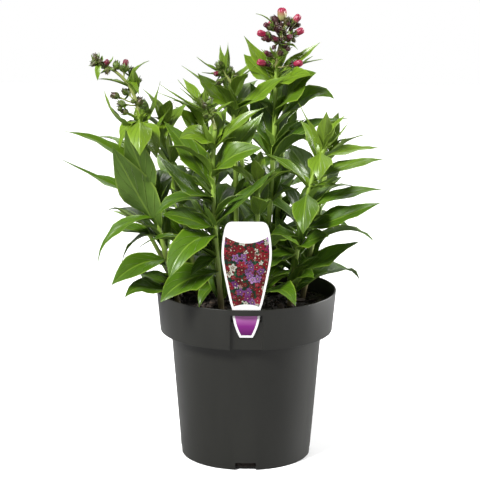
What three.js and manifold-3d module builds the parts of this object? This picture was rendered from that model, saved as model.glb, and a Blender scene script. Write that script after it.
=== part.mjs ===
// A young bedding penstemon in a round nursery pot, with a printed plant label
// standing in the label slot of the pot's rim band.
// Units are millimetres, +Z is up and -Y is the front, where the label stands.
// The origin is the centre of the pot's flat underside.
import * as THREE from 'three';
import { mergeVertices } from 'three/addons/utils/BufferGeometryUtils.js';
import Module from 'manifold-3d';

const wasm = await Module();
wasm.setup();

const part = new THREE.Group();

// Driving dimensions of the pot
const potHeight = 132;
const rimRadius = 70;
const bandHeight = 32;
const bandFootRadius = 67;
const shoulderRadius = 58.7;
const baseRadius = 50.5;
const wall = 1.5;
const floorThickness = 2;
const potSides = 36;
const drainWidth = 16;
const drainHeight = 6;
const drainCount = 4;

// Driving dimensions of the label and its slot, which lean outward as the band does
const slotLean = Math.atan2(rimRadius - bandFootRadius, bandHeight);
const recessWidth = 24.6;
const recessDepth = 3.6;
const bridgeHeight = 4;
const slotWidth = 23;
const slotOpening = 1.5;
const labelThickness = 0.6;
const labelTop = 69;
const labelWidestAt = 45;
const labelHalf = 18.7;
const neckHalf = 10.6;
const tailLength = 22;
const tailHalf = 4.9;

// Driving dimensions of the soil and the plant
const soilLevel = 120;
const gap = 0.3;
const stemFoot = 95;
const stemFootRadius = 2.4;
const stemTopRadius = 1.5;
const rachisTopRadius = 0.9;
const ribThickness = 1.2;
const bladeFold = 20;
const marginWave = 0.07;
const bladeSteps = 4;
const clearance = 0.7;
const innerShare = 0.3;
const flowerParts = 5;
const stalkletRadius = 0.75;
const calyxGirth = 0.34;
const cupShare = 0.6;
const smallPetal = 2;
const petalGirth = 0.36;

const blackPlastic = { color: 0x33332f, roughness: 0.5, metalness: 0 };
const whitePlastic = { color: 0xe9e7e3, roughness: 0.35, metalness: 0 };
const pottingMix = { color: 0x2a211a, roughness: 0.95, metalness: 0 };
const leafGreen = { color: 0x4d7a24, roughness: 0.5, metalness: 0 };
const budOlive = { color: 0x565334, roughness: 0.6, metalness: 0 };
const petalCrimson = { color: 0xb23a52, roughness: 0.5, metalness: 0 };

function radians(degrees) {
  return (degrees * Math.PI) / 180;
}

// Random numbers between two limits, the same on every run
function randomFrom(seed) {
  const modulus = 2147483647;
  let state = seed;
  return (low, high) => {
    state = (state * 16807) % modulus;
    return low + ((high - low) * state) / modulus;
  };
}

// Turns a geometry into a closed solid: shared corners are merged, collapsed
// triangles are dropped, and the faces are turned to point outward.
function solid(geometry) {
  const bare = geometry.clone();
  bare.deleteAttribute('normal');
  bare.deleteAttribute('uv');
  const merged = mergeVertices(bare, 1e-3);
  const places = merged.getAttribute('position');
  const corners = [new THREE.Vector3(), new THREE.Vector3(), new THREE.Vector3()];
  const triangles = [];
  let volume = 0;
  for (let i = 0; i < merged.index.count; i += 3) {
    const ids = [0, 1, 2].map((k) => merged.index.getX(i + k));
    if (new Set(ids).size < 3) continue;
    corners.forEach((corner, k) => corner.fromBufferAttribute(places, ids[k]));
    volume += corners[0].dot(corners[1].cross(corners[2]));
    triangles.push(ids);
  }
  if (volume < 0) triangles.forEach((ids) => ids.reverse());
  return new wasm.Manifold(new wasm.Mesh({
    numProp: 3,
    vertProperties: new Float32Array(places.array),
    triVerts: new Uint32Array(triangles.flat()),
  }));
}

function addNode(name, body, finish) {
  const { vertProperties, triVerts } = body.getMesh();
  const geometry = new THREE.BufferGeometry();
  geometry.setAttribute('position', new THREE.BufferAttribute(vertProperties, 3));
  geometry.setIndex(new THREE.BufferAttribute(triVerts, 1));
  geometry.computeVertexNormals();
  const mesh = new THREE.Mesh(geometry, new THREE.MeshStandardMaterial(finish));
  mesh.name = name;
  part.add(mesh);
}

// A shape of revolution about Z from [radius, height] points
function turned(profile) {
  const points = profile.map(([radius, height]) => new THREE.Vector2(radius, height));
  return new THREE.LatheGeometry(points, potSides).rotateX(Math.PI / 2);
}

function block(width, depth, height, x, y, z) {
  return new THREE.BoxGeometry(width, depth, height).translate(x, y, z);
}

// The pot: a thin tapered wall with a wide band round the rim

const bandFoot = potHeight - bandHeight;
const shoulderTop = bandFoot + wall;
const outside = [
  [0, 0],
  [baseRadius - 1, 0],
  [baseRadius, 1],
  [shoulderRadius, bandFoot],
  [bandFootRadius - 0.5, bandFoot],
  [bandFootRadius, bandFoot + 0.5],
  [rimRadius, potHeight - 0.5],
  [rimRadius - 0.5, potHeight],
];
const inside = [
  [rimRadius - wall, potHeight],
  [bandFootRadius - wall, shoulderTop],
  [shoulderRadius - wall, shoulderTop],
  [baseRadius - wall, floorThickness],
  [0, floorThickness],
];

// The parts of the slot are drawn upright with the floor of the recess on y = 0 and the
// rim at z = 0, then leaned outward and moved to the front of the rim.
function atSlot(geometry) {
  return geometry.rotateX(slotLean).translate(0, recessDepth - rimRadius, potHeight);
}

// The thicker wall behind and beside the recess
function slotPad(grow) {
  const front = -recessDepth - 2;
  const back = wall + 0.3 + grow;
  const height = bandHeight - 1;
  const width = recessWidth + 2 * (wall + 0.3 + grow);
  return atSlot(block(width, back - front, height, 0, (back + front) / 2, -height / 2 + 0.4));
}

function makePot() {
  const envelope = solid(turned([...outside, [0, potHeight]]));
  const recessHeight = bandHeight + 6;
  const recess = block(
    recessWidth, 2 * recessDepth, recessHeight,
    0, -recessDepth, -bridgeHeight - recessHeight / 2,
  );
  const slot = block(slotWidth, slotOpening, 3 * bridgeHeight, 0, -slotOpening / 2, -bridgeHeight);
  let pot = solid(turned([...outside, ...inside]))
    .add(solid(slotPad(0)).intersect(envelope))
    .subtract(solid(atSlot(recess)))
    .subtract(solid(atSlot(slot)));
  for (let i = 0; i < drainCount; i += 1) {
    const notch = block(drainWidth, 8, drainHeight + 2, 0, -baseRadius, drainHeight / 2 - 1)
      .rotateZ((i * 2 * Math.PI) / drainCount);
    pot = pot.subtract(solid(notch));
  }
  return pot;
}

const pot = makePot();
addNode('pot', pot, blackPlastic);

// The label: a thin plate that narrows to a neck in the slot and to a tail below it

function makeLabel() {
  const half = [
    [tailHalf, -tailLength, tailHalf, -tailLength],
    [9.6, -13, 10.3, -bridgeHeight],
    [neckHalf, -2, neckHalf, 0],
    [neckHalf + 0.3, 2, neckHalf + 1.4, 5],
    [labelHalf - 1.5, labelWidestAt - 16, labelHalf - 0.3, labelWidestAt - 6],
    [labelHalf + 0.2, labelWidestAt, labelHalf - 0.4, labelWidestAt + 6],
    [labelHalf - 1, labelWidestAt + 13, labelHalf - 2.2, labelTop - 6],
    [labelHalf - 3.4, labelTop, labelHalf - 8, labelTop],
  ];
  const shape = new THREE.Shape();
  shape.moveTo(-tailHalf, -tailLength);
  half.forEach(([cx, cy, x, y]) => shape.quadraticCurveTo(cx, cy, x, y));
  let [x, y] = [8 - labelHalf, labelTop];
  shape.lineTo(x, y);
  for (let i = half.length - 1; i > 0; i -= 1) {
    [x, y] = half[i - 1].slice(2);
    shape.quadraticCurveTo(-half[i][0], half[i][1], -x, y);
  }
  const plate = new THREE.ExtrudeGeometry(shape, {
    depth: labelThickness, bevelEnabled: false, curveSegments: 3,
  });
  const clear = (slotOpening - labelThickness) / 2;
  return solid(atSlot(plate.rotateX(Math.PI / 2).translate(0, -clear, 0)));
}

const label = makeLabel();
addNode('label', label, whitePlastic);

// Stems: each passes through four points at equal steps of height, from its foot in
// the soil to its top, so that a point on it is found by its height.
const stems = {
  left: { top: 270, x: [-48, -60, -73, -82], y: [-5, -15, -24, -24] },
  front: { top: 263, x: [-18, -21, -25, -24], y: [-30, -41, -43, -40] },
  middle: { top: 290, x: [-8, -8, -9, -12], y: [10, 14, 15, 12] },
  tall: { top: 303, x: [10, 16, 20, 22], y: [6, 10, 12, 10] },
  right: { top: 250, x: [30, 36, 43, 59], y: [-8, -19, -27, -28] },
  inner: { top: 264, x: [-33, -42, -53, -64], y: [10, 6, 0, -5] },
  low: { top: 184, x: [-44, -54, -68, -83], y: [22, 20, 19, 15] },
  short: { top: 226, x: [5, 7, 8, 8], y: [-28, -33, -36, -38] },
  back_1: { top: 262, x: [-22, -26, -31, -38], y: [36, 43, 50, 56] },
  back_2: { top: 282, x: [18, 23, 27, 30], y: [36, 42, 48, 52] },
  back_3: { top: 240, x: [40, 48, 56, 66], y: [14, 18, 21, 24] },
  back_4: { top: 228, x: [-36, -46, -55, -64], y: [34, 42, 49, 56] },
  back_5: { top: 246, x: [2, 0, -3, -4], y: [48, 57, 65, 72] },
};

// The cubic that passes through four values at equal steps
function throughFour([a, b, c, d], t) {
  const u = 3 * t;
  return (
    (-a * (u - 1) * (u - 2) * (u - 3)) / 6 +
    (b * u * (u - 2) * (u - 3)) / 2 -
    (c * u * (u - 1) * (u - 3)) / 2 +
    (d * u * (u - 1) * (u - 2)) / 6
  );
}

function stemPoint(stem, z) {
  const t = (z - stemFoot) / (stem.top - stemFoot);
  return new THREE.Vector3(throughFour(stem.x, t), throughFour(stem.y, t), z);
}

// A round tapering tube with flat ends, its rings square to the path
function tube(path, radiusAt, sides, steps) {
  const geometry = new THREE.CylinderGeometry(1, 1, 1, sides, steps);
  const places = geometry.getAttribute('position');
  const ring = new THREE.Vector3();
  for (let i = 0; i < places.count; i += 1) {
    ring.fromBufferAttribute(places, i);
    const t = ring.y + 0.5;
    const along = path(t + 0.01).sub(path(t - 0.01)).normalize();
    const across = new THREE.Vector3(0, 1, 0).cross(along).normalize();
    const point = path(t)
      .addScaledVector(across, ring.x * radiusAt(t))
      .addScaledVector(along.cross(across), ring.z * radiusAt(t));
    places.setXYZ(i, point.x, point.y, point.z);
  }
  return geometry;
}

function makeStem(stem, grow = 0) {
  const foot = stemFoot - grow;
  const radiusAt = (t) => THREE.MathUtils.lerp(stemFootRadius, stemTopRadius, t) + grow;
  const path = (t) => stemPoint(stem, THREE.MathUtils.lerp(foot, stem.top, t));
  return solid(tube(path, radiusAt, 5, 5));
}

// The soil: it fills the pot to below the rim, with a rough surface, bark chips lying
// half sunk in it, and a plain hole round each stem

const soilSides = 18;
const soilGap = 0.45;
const chipSeed = 5517;
const chipCount = 6;
const chipRing = [12, 56];

function bandInside(z) {
  const share = (z - shoulderTop) / (potHeight - shoulderTop);
  return THREE.MathUtils.lerp(bandFootRadius, rimRadius, share) - wall - soilGap;
}

function roughness(x, y) {
  return 0.9 * Math.sin(x / 5.3 + y / 9.7) + 0.8 * Math.cos(y / 4.9 - x / 11.3);
}

function makeSoil() {
  const edge = soilLevel - 2.5;
  const points = [
    [0, floorThickness + gap],
    [baseRadius - wall - 2 * soilGap, floorThickness + gap],
    [shoulderRadius - wall - soilGap, shoulderTop + gap],
    [bandInside(shoulderTop), shoulderTop + gap],
    [bandInside(edge), edge],
    [56, soilLevel],
    [30, soilLevel + 0.6],
    [0, soilLevel + 1],
  ].map(([radius, height]) => new THREE.Vector2(radius, height));
  const shape = new THREE.LatheGeometry(points, soilSides).rotateX(Math.PI / 2);
  const places = shape.getAttribute('position');
  for (let i = 0; i < places.count; i += 1) {
    const [x, y, z] = [places.getX(i), places.getY(i), places.getZ(i)];
    if (z > edge + 1) places.setZ(i, z + roughness(x, y));
  }
  let soil = solid(shape);
  const between = randomFrom(chipSeed);
  for (let i = 0; i < chipCount; i += 1) {
    const length = between(7, 13);
    const ring = between(...chipRing);
    const chip = block(length, length * between(0.4, 0.7), between(2, 3.2), 0, 0, 0)
      .rotateX(between(-0.4, 0.4))
      .rotateY(between(-0.3, 0.3))
      .rotateZ(between(0, Math.PI))
      .translate(ring, 0, soilLevel + 1.2)
      .rotateZ(between(0, 2 * Math.PI));
    soil = soil.add(solid(chip));
  }
  soil = soil.subtract(solid(slotPad(gap)));
  return Object.values(stems).reduce((rest, stem) => rest.subtract(makeStem(stem, gap)), soil);
}

const soil = makeSoil();
addNode('soil', soil, pottingMix);

// Flower heads. Each has a stalk through four points, which goes on from its stem's top.
// A bract's row starts with its share of the way up the stalk and goes on as a leaf's row.
// A bud's row gives that share too, the place of its tip, the length of its calyx and
// how far its closed petals stand out of the calyx.
const heads = {
  left: {
    stalk: [[-82, -24, 271], [-89, -23, 294], [-102, -25, 307], [-113, -26, 313]],
    bracts: [
      [0.2, [-85, -34, 310], 9, 85, 88, 0],
      [0.4, [-81, -36, 289], 6, 10, -70, 0],
      [0.33, [-112, -30, 300], 7, 25, 0, 0],
      [0.38, [-74, -16, 312], 6, 55, 10, 0],
      [0.92, [-112, -32, 299], 5, -40, -88, 0],
      [0.75, [-101, -22, 316], 3, 60, 88, 0],
      [0.88, [-109, -24, 317], 3, 60, 88, 0],
    ],
    buds: [
      [1, [-115, -26, 319], 7, 0],
      [1, [-117, -30, 310], 7, 0],
      [0.8, [-104, -28, 314], 7, 1.5],
      [0.75, [-105, -29, 303], 6, 0],
      [0.6, [-98, -20, 313], 7, 0],
      [0.45, [-91, -22, 314], 8, 1.5],
      [0.35, [-86, -16, 307], 7, 0],
      [0.12, [-103, -24, 288], 7, 0],
      [0.1, [-98, -31, 282], 7, 0],
      [0.15, [-95, -18, 291], 7, 0],
      [0, [-95, -28, 276], 6, 0],
      [0.1, [-79, -26, 285], 7, 0],
      [0.3, [-84, -10, 298], 7, 0],
      [0.08, [-82, -12, 284], 7, 0],
    ],
  },
  front: {
    stalk: [[-24, -40, 264], [-26, -39, 271], [-29, -38, 278], [-33, -37, 283]],
    bracts: [
      [0.6, [-65, -36, 297], 6, 20, 35, 0],
      [0.5, [-68, -22, 289], 4, 20, 15, 0],
      [0.8, [-52, -38, 301], 4, 40, 50, 0],
      [0.8, [-50, -46, 296], 4, 30, 40, 0],
      [0.6, [-18, -52, 272], 5, 20, -60, 0],
      [0.4, [-10, -44, 286], 6, 50, 20, 20],
      [0.9, [-32, -40, 297], 4, 80, 88, 0],
    ],
    buds: [
      [0.95, [-39, -37, 286], 7, 0],
      [0.8, [-34, -46, 284], 7, 0],
      [0.8, [-27, -34, 287], 7, 0],
      [0.5, [-24, -46, 280], 7, 0],
      [0.5, [-33, -46, 275], 7, 0],
      [0.7, [-36, -28, 281], 7, 0],
      [0.4, [-22, -30, 277], 7, 0],
    ],
  },
  middle: {
    stalk: [[-12, 12, 291], [-15, 12, 295], [-18, 12, 300], [-19, 12, 304]],
    bracts: [
      [0.1, [8, 6, 307], 5, 25, 35, 10],
      [0.6, [-39, 8, 312], 6, 20, 40, -10],
      [0.6, [-35, 2, 301], 4, 0, 10, 0],
      [0.4, [-28, 0, 289], 3, -10, -40, 0],
      [0.8, [-21, 9, 321], 6, 80, 88, 0],
      [0.5, [-15, 6, 324], 6, 80, 88, 0],
    ],
    buds: [
      [0.9, [-25, 12, 307], 7, 0],
      [0.7, [-26, 6, 299], 6, 1.5],
      [0.4, [-24, 3, 292], 6, 0],
      [0.5, [-12, 12, 304], 7, 0],
      [0.2, [-7, 7, 298], 7, 0],
      [0.8, [-18, 20, 307], 7, 0],
      [0.4, [-14, 22, 299], 7, 0],
    ],
  },
  tall: {
    stalk: [[22, 10, 303.8], [23, 10, 313], [25, 10, 323], [26, 10, 333]],
    bracts: [
      [0.95, [6, 10, 345], 4, 40, 5, 0],
      [0.55, [38, 0, 319], 5, 30, -50, 0],
      [0.2, [17, 5, 321], 5, 70, 88, 0],
    ],
    buds: [
      [1, [26, 10, 350], 6, 9],
      [0.98, [19, 8, 344], 7, 0],
      [0.9, [12, 5, 338], 7, 1.5],
      [0.75, [7, 8, 331], 6, 6],
      [0.65, [12, -1, 328], 6, 1.5],
      [0.6, [21, -4, 328], 7, 1.5],
      [0.62, [33, -4, 330], 7, 1.5],
      [0.9, [40, 12, 344], 6, 6],
      [0.75, [43, 10, 333], 6, 6],
      [0.98, [32, 6, 343], 7, 0],
      [0.85, [22, -4, 337], 8, 0],
      [0.5, [30, 2, 323], 6, 0],
      [0.85, [16, 22, 337], 6, 5],
      [0.7, [27, 25, 331], 6, 5],
      [0.8, [38, 22, 337], 7, 0],
      [0.2, [13, 4, 317], 6, 1.5],
      [0.2, [26, 0, 318], 6, 0],
      [0, [42, 0, 309], 6, 6],
      [0.05, [7, 4, 309], 6, 6],
      [0.15, [18, 20, 315], 7, 0],
    ],
  },
};

// Leaves set by hand. Each row gives the height of the leaf's root on its stem, the place
// of its tip, its greatest width, the slope at which it leaves the stem and the slope at
// its tip, in degrees above the level, the roll of the blade about its midrib, and its
// fold where the margins hang down instead.
const leaves = {
  left: [
    [135, [-92, -48, 136], 18, -5, -45, -35],
    [138, [-84, 8, 142], 18, 0, 10, -25],
    [158, [-102, -50, 146], 21, 10, -38, -40],
    [175, [-97, -2, 151], 13, 35, -85, -20],
    [177, [-105, -8, 182], 15, 10, 0, -20],
    [192, [-113, -34, 159], 14, 8, -88, -20],
    [183, [-101, -46, 252], 28, 55, 60, 60],
    [211, [-91, -44, 264], 22, 60, 60, 50],
    [232, [-139, -28, 260], 15, 25, 5, -30],
    [205, [-142, -22, 238], 15, 22, 28, -20],
    [266, [-79, -64, 248], 22, 35, -88, 0, -40],
    [267, [-96, -44, 251], 16, 0, -70, 0],
    [266, [-68, -42, 242], 17, 0, -70, 0],
    [244, [-55, -20, 282], 9, 60, 55, 0],
    [266, [-107, -30, 291], 14, -30, 85, 0],
    [262, [-66, -12, 296], 7, 30, 70, 0],
  ],
  front: [
    [155, [-64, -74, 139], 26, 0, -45, -35],
    [167, [-42, -60, 156], 12, -5, -45, -20],
    [181, [-57, -76, 158], 25, 30, -75, -25],
    [188, [-63, -56, 202], 22, 25, 5, -45],
    [212, [-66, -70, 250], 20, 15, 50, -55],
    [207, [-68, -52, 200], 17, 45, -60, -20],
    [249, [-50, -60, 260], 18, 60, -30, -50],
    [227, [11, -58, 253], 24, 65, 10, 50],
    [191, [24, -50, 239], 16, 45, 45, 35],
    [188, [-33, -56, 216], 7, 70, 85, 0],
    [247, [-33, -52, 274], 8, 60, 70, 0],
    [249, [15, -44, 282], 13, 50, 20, 40],
    [232, [12, -28, 275], 20, 45, 50, 45],
    [218, [-63, -28, 268], 22, 60, 45, -40],
  ],
  middle: [
    [269, [34, -8, 301], 16, 25, 20, 60],
    [269, [-38, 4, 300], 20, 50, 60, -55],
    [269, [-51, 24, 303], 9, 40, 30, 0],
    [272, [-14, 0, 295], 7, 60, 80, 0],
  ],
  tall: [
    [268, [52, -12, 303], 27, 40, 15, 70],
    [258, [66, -4, 282], 20, 45, -45, 40],
    [239, [78, 0, 266], 17, 35, 0, 30],
    [298, [56, 0, 326], 12, 30, 35, 40],
    [288, [48, -10, 300], 16, 30, 0, 50],
    [298, [-3, 4, 330], 12, 30, 55, -45],
    [288, [-3, 14, 314], 20, 55, 50, -40],
    [240, [2, 24, 290], 22, 65, 55, -50],
    [200, [0, 4, 240], 22, 60, 45, -45],
  ],
  right: [
    [246, [59, -40, 278], 13, 80, 88, 0],
    [248, [66, -32, 267], 7, 70, 75, 0],
    [247, [76, -24, 267], 7, 45, 60, 0],
    [240, [101, -20, 247], 13, 15, -5, 25],
    [223, [105, -34, 241], 16, 25, 5, 30],
    [217, [70, -44, 223], 8, 25, 5, 10],
    [199, [106, -36, 218], 17, 28, 0, 30],
    [184, [101, -46, 210], 22, 15, 20, 40],
    [168, [62, -50, 185], 18, 35, 10, 50],
    [150, [86, -24, 175], 20, 8, 20, 30],
    [138, [62, -16, 149], 17, 15, -5, 20],
    [134, [51, -52, 153], 16, 40, -20, 35],
    [163, [12, -38, 156], 17, 30, -30, -20],
    [212, [42, -66, 190], 25, 35, -88, 0, -45],
    [243, [53, -66, 230], 22, 40, -88, 0, -40],
    [246, [38, -36, 284], 8, 60, 60, 0],
    [217, [6, -26, 244], 12, 50, 5, -20],
    [178, [16, -34, 178], 20, 25, -20, -20],
    [174, [40, -36, 192], 7, 40, 85, 0],
    [154, [22, -2, 190], 18, 60, 40, -45],
  ],
  inner: [
    [260, [-71, -8, 282], 8, 60, 85, 0],
    [262, [-57, -6, 276], 5, 60, 80, 0],
    [262, [-63, -26, 246], 8, 10, -85, 0],
    [257, [-57, -26, 252], 9, 30, -70, 0],
  ],
  low: [
    [180, [-105, 5, 196], 8, 20, 25, 0],
    [182, [-107, 14, 191], 8, 10, 15, 0],
  ],
  back_1: [
    [234, [-57, 44, 268], 20, 60, 40, -45],
  ],
  back_2: [
    [238, [45, 42, 278], 24, 70, 50, 50],
  ],
  back_3: [
    [202, [28, 14, 246], 24, 60, 45, -50],
    [168, [26, 12, 213], 24, 60, 45, -50],
  ],
};

// The other leaves stand in opposite pairs, each pair square to the one below it, and
// grow shorter and steeper toward the top. Turns and sectors are in degrees about the
// stem, counter-clockwise from +X seen from above. A sector leaves out the directions
// in which the rows above already fill the stem.
const allRound = [-180, 180];
const pairs = {
  left: { turn: 60, length: 68, width: 23, sector: [20, 165] },
  front: { turn: 70, length: 68, width: 23, sector: [15, 160] },
  middle: { turn: 20, length: 72, width: 25, sector: allRound },
  tall: { turn: 65, length: 72, width: 25, sector: [-35, 215] },
  right: { turn: 30, length: 68, width: 23, sector: [20, 165] },
  inner: { turn: 50, length: 68, width: 24, sector: allRound },
  low: { turn: 100, length: 52, width: 19, sector: [40, 215] },
  short: { turn: 80, length: 58, width: 22, sector: allRound },
  back_1: { turn: 40, length: 70, width: 25, sector: allRound },
  back_2: { turn: 75, length: 72, width: 26, sector: allRound },
  back_3: { turn: 65, length: 66, width: 24, sector: allRound },
  back_4: { turn: 120, length: 62, width: 23, sector: [70, 280] },
  back_5: { turn: 95, length: 68, width: 24, sector: allRound },
};
const pairSeed = 44;
const lowestPair = 131;
const pairStep = 33;
const crownDepths = [13, 4];

// Share of the greatest width at a share of the length from root to tip: a narrow foot,
// the widest place about a third of the way up, and a point that is longer drawn out the
// narrower the leaf is
function outlineAt(leaf, s) {
  const slimness = leaf.width / leaf.root.distanceTo(leaf.tip);
  const taper = THREE.MathUtils.clamp(2.9 - 5 * slimness, 1.1, 1.9);
  const shape = (at) => at ** 0.8 * (1 - at) ** taper;
  return shape(s) / shape(0.8 / (0.8 + taper));
}

// The midrib: a curve from the stem to the tip that leaves and ends at the slopes given
function midrib({ root, tip, rise, fall }) {
  const level = new THREE.Vector3(tip.x - root.x, tip.y - root.y, 0).normalize();
  const reach = 0.38 * root.distanceTo(tip);
  const slope = (degrees) => level.clone()
    .multiplyScalar(Math.cos(radians(degrees)))
    .setZ(Math.sin(radians(degrees)));
  const first = root.clone().addScaledVector(slope(rise), reach);
  const second = tip.clone().addScaledVector(slope(fall), -reach);
  const side = new THREE.Vector3(-level.y, level.x, 0);
  return { side, curve: new THREE.CubicBezierCurve3(root, first, second, tip) };
}

// The midrib and the two margins at a share of the length. The halves fold up from the
// midrib, the blade rolls within its first half, and each margin waves on its own.
function bladeAt(leaf, rib, s) {
  const centre = rib.curve.getPoint(s);
  const along = rib.curve.getTangent(s);
  const normal = along.clone().cross(rib.side).normalize();
  normal.applyAxisAngle(along, radians(leaf.roll) * Math.min(1, 2 * s));
  const side = normal.clone().cross(along);
  const half = (leaf.width / 2) * outlineAt(leaf, s);
  const fold = radians(leaf.fold ?? bladeFold) * (1 - 0.5 * s);
  const wave = marginWave * leaf.width * Math.sin(Math.PI * s);
  const margin = (hand) => centre.clone()
    .addScaledVector(side, hand * half * Math.cos(fold))
    .addScaledVector(
      normal,
      half * Math.sin(fold) + wave * Math.sin(4 * Math.PI * s + leaf.root.z + hand),
    );
  return { centre, normal, side, left: margin(1), right: margin(-1) };
}

// A leaf as a closed solid: a sheet of two strips for the upper face and the same sheet
// again for the lower face, thick at the midrib and joined along the margins, which start
// together under the root. It can be grown all round, and begun part of the way along.
function makeBlade(leaf, grow = 0, start = 0) {
  const rib = midrib(leaf);
  const sheet = new THREE.PlaneGeometry(1, 1, 2, bladeSteps);
  const upper = [...sheet.index.array];
  const lower = upper.map((id) => id + sheet.getAttribute('position').count).reverse();
  const places = [];
  for (const face of [1, -1]) {
    for (let row = 0; row <= bladeSteps; row += 1) {
      const share = row / bladeSteps;
      const { centre, normal, side, left, right } = bladeAt(leaf, rib, start + share * (1 - start));
      const fullness = Math.sqrt(1 - share ** 4);
      const rise = fullness * (ribThickness / 2 + grow);
      left.addScaledVector(side, fullness * grow);
      right.addScaledVector(side, -fullness * grow);
      if (row === 0) {
        [left, right].forEach((margin) => margin.copy(centre).addScaledVector(normal, -rise));
      }
      places.push(...left, ...centre.addScaledVector(normal, face * rise), ...right);
    }
  }
  const geometry = new THREE.BufferGeometry();
  geometry.setAttribute('position', new THREE.Float32BufferAttribute(places, 3));
  geometry.setIndex([...upper, ...lower]);
  return solid(geometry);
}

// Whatever already stands: whose it is, its solid, and the outer part of it that
// the same owner's later leaves keep clear of
const standing = [];

function stand(owner, body, outer = null) {
  standing.push({ owner, body, outer, box: body.boundingBox() });
}

function boxesMeet(a, b) {
  return [0, 1, 2].every((k) => a.min[k] < b.max[k] && b.min[k] < a.max[k]);
}

function isClear(owner, leaf) {
  const whole = makeBlade(leaf, clearance);
  const outer = makeBlade(leaf, clearance, innerShare);
  const box = whole.boundingBox();
  return standing.every((other) => {
    if (!boxesMeet(box, other.box)) return true;
    if (other.owner !== owner) return whole.intersect(other.body).isEmpty();
    return other.outer === null || outer.intersect(other.outer).isEmpty();
  });
}

// Grows a leaf at the first of its possible places that is clear, if there is one
const growth = {};

function grow(owner, places) {
  const leaf = places.find((place) => isClear(owner, place));
  if (!leaf) return;
  const blade = makeBlade(leaf);
  growth[owner].push(blade);
  stand(owner, blade, makeBlade(leaf, 0, innerShare));
}

// A leaf set by hand may stand nearer or farther along the view from the front
const shifts = [0, -6, 6, -12, 12, -18, 18, -24, 24];
const viewSlope = 0.22;
function placesOfRow(stem, [height, [x, y, z], width, rise, fall, roll, fold]) {
  const root = stemPoint(stem, height);
  return shifts.map((shift) => {
    const tip = new THREE.Vector3(x, y + shift, z - viewSlope * shift);
    return { root, tip, width, rise, fall, roll, fold };
  });
}

// A leaf of a pair may be turned about the stem, tilted or shorter
const turns = [0, 12, -12, 24, -24, 36, -36];
const tilts = [0, 14, -14];
const shares = [1, 0.75];
function placesOfPair(stem, height, leaf) {
  const root = stemPoint(stem, height);
  const places = [];
  for (const share of shares) {
    for (const tilt of tilts) {
      for (const turn of turns) {
        const slope = radians(leaf.slope + tilt);
        const direction = radians(leaf.direction + turn);
        const tip = new THREE.Vector3(
          Math.cos(direction) * Math.cos(slope),
          Math.sin(direction) * Math.cos(slope),
          Math.sin(slope),
        ).multiplyScalar(leaf.length * share).add(root);
        places.push({
          root,
          tip,
          width: leaf.width * share,
          rise: leaf.slope + tilt + 28,
          fall: leaf.slope + tilt - leaf.droop,
          roll: leaf.roll,
        });
      }
    }
  }
  return places;
}

function inSector(direction, [from, to]) {
  const turned = ((direction - from) % 360 + 360) % 360;
  return turned <= to - from;
}

for (const [name, stem] of Object.entries(stems)) {
  growth[name] = [makeStem(stem)];
  stand(name, growth[name][0]);
}
stand('pot', pot);
stand('soil', soil);
stand('label', label);
stand('view of the label', solid(block(2 * labelHalf + 4, 90, 90, 0, -120, potHeight + 26)));

// A shape of revolution about its own upright axis from [radius, height] points, with
// one side for each of the five sepals or petals
function fiveSided(profile) {
  return new THREE.LatheGeometry(profile.map((point) => new THREE.Vector2(...point)), flowerParts);
}

// A bud's calyx on its stalklet, which reaches down to the stalk: the sepals of a closed
// bud meet in a point, and those of an open one end as the brim of a cup
function makeCalyx(stalklet, length, open) {
  const radius = calyxGirth * length;
  const brim = cupShare * length;
  const closed = [[0.95 * radius, 0.5 * length], [0.55 * radius, 0.85 * length], [0, length]];
  return fiveSided([
    [0, -stalklet],
    [stalkletRadius, -stalklet],
    [stalkletRadius, 0],
    ...(open ? [[radius, 0.7 * brim], [0.9 * radius, brim], [0, brim]] : closed),
  ]);
}

// Petals still folded shut, which stand in the cup of an open calyx
function makePetals(length) {
  const radius = petalGirth * length;
  return fiveSided([
    [0, 0],
    [0.6 * radius, 0],
    [radius, 0.45 * length],
    [0.75 * radius, 0.85 * length],
    [0, length],
  ]);
}

// Turns a shape drawn upright along Y to stand at a point and lean along a direction
function leanAt(shape, point, along) {
  const turn = new THREE.Quaternion().setFromUnitVectors(new THREE.Vector3(0, 1, 0), along);
  return shape.applyQuaternion(turn).translate(...point);
}

function stalkPoint(stalk, t) {
  return new THREE.Vector3(...[0, 1, 2].map((k) => throughFour(stalk.map((p) => p[k]), t)));
}

for (const [name, head] of Object.entries(heads)) {
  const owner = `head of ${name}`;
  const path = (t) => stalkPoint(head.stalk, t);
  const thickness = (t) => THREE.MathUtils.lerp(stemTopRadius, rachisTopRadius, t);
  const pieces = [solid(tube(path, thickness, 5, 4))];
  const petals = [];
  for (const [share, place, calyx, petal] of head.buds) {
    const root = path(share);
    const tip = new THREE.Vector3(...place);
    const along = tip.clone().sub(root).normalize();
    const foot = tip.clone().addScaledVector(along, -calyx - petal);
    const open = petal > smallPetal;
    pieces.push(solid(leanAt(makeCalyx(root.distanceTo(foot), calyx, open), foot, along)));
    if (open) {
      const base = foot.clone().addScaledVector(along, cupShare * calyx + gap);
      const length = (1 - cupShare) * calyx + petal - gap;
      petals.push(solid(leanAt(makePetals(length), base, along)));
    }
  }
  for (const [share, place, width, rise, fall, roll] of head.bracts) {
    const tip = new THREE.Vector3(...place);
    pieces.push(makeBlade({ root: path(share), tip, width, rise, fall, roll }));
  }
  const body = pieces.reduce((sum, piece) => sum.add(piece));
  const rest = petals.reduce((sum, piece) => sum.subtract(piece), body);
  addNode(`buds_${name}`, rest, budOlive);
  pieces.forEach((piece) => stand(owner, piece));
  petals.forEach((piece, i) => {
    addNode(`petals_${name}_${i + 1}`, piece, petalCrimson);
    stand(owner, piece);
  });
}

for (const [name, rows] of Object.entries(leaves)) {
  rows.forEach((row) => grow(name, placesOfRow(stems[name], row)));
}

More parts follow.
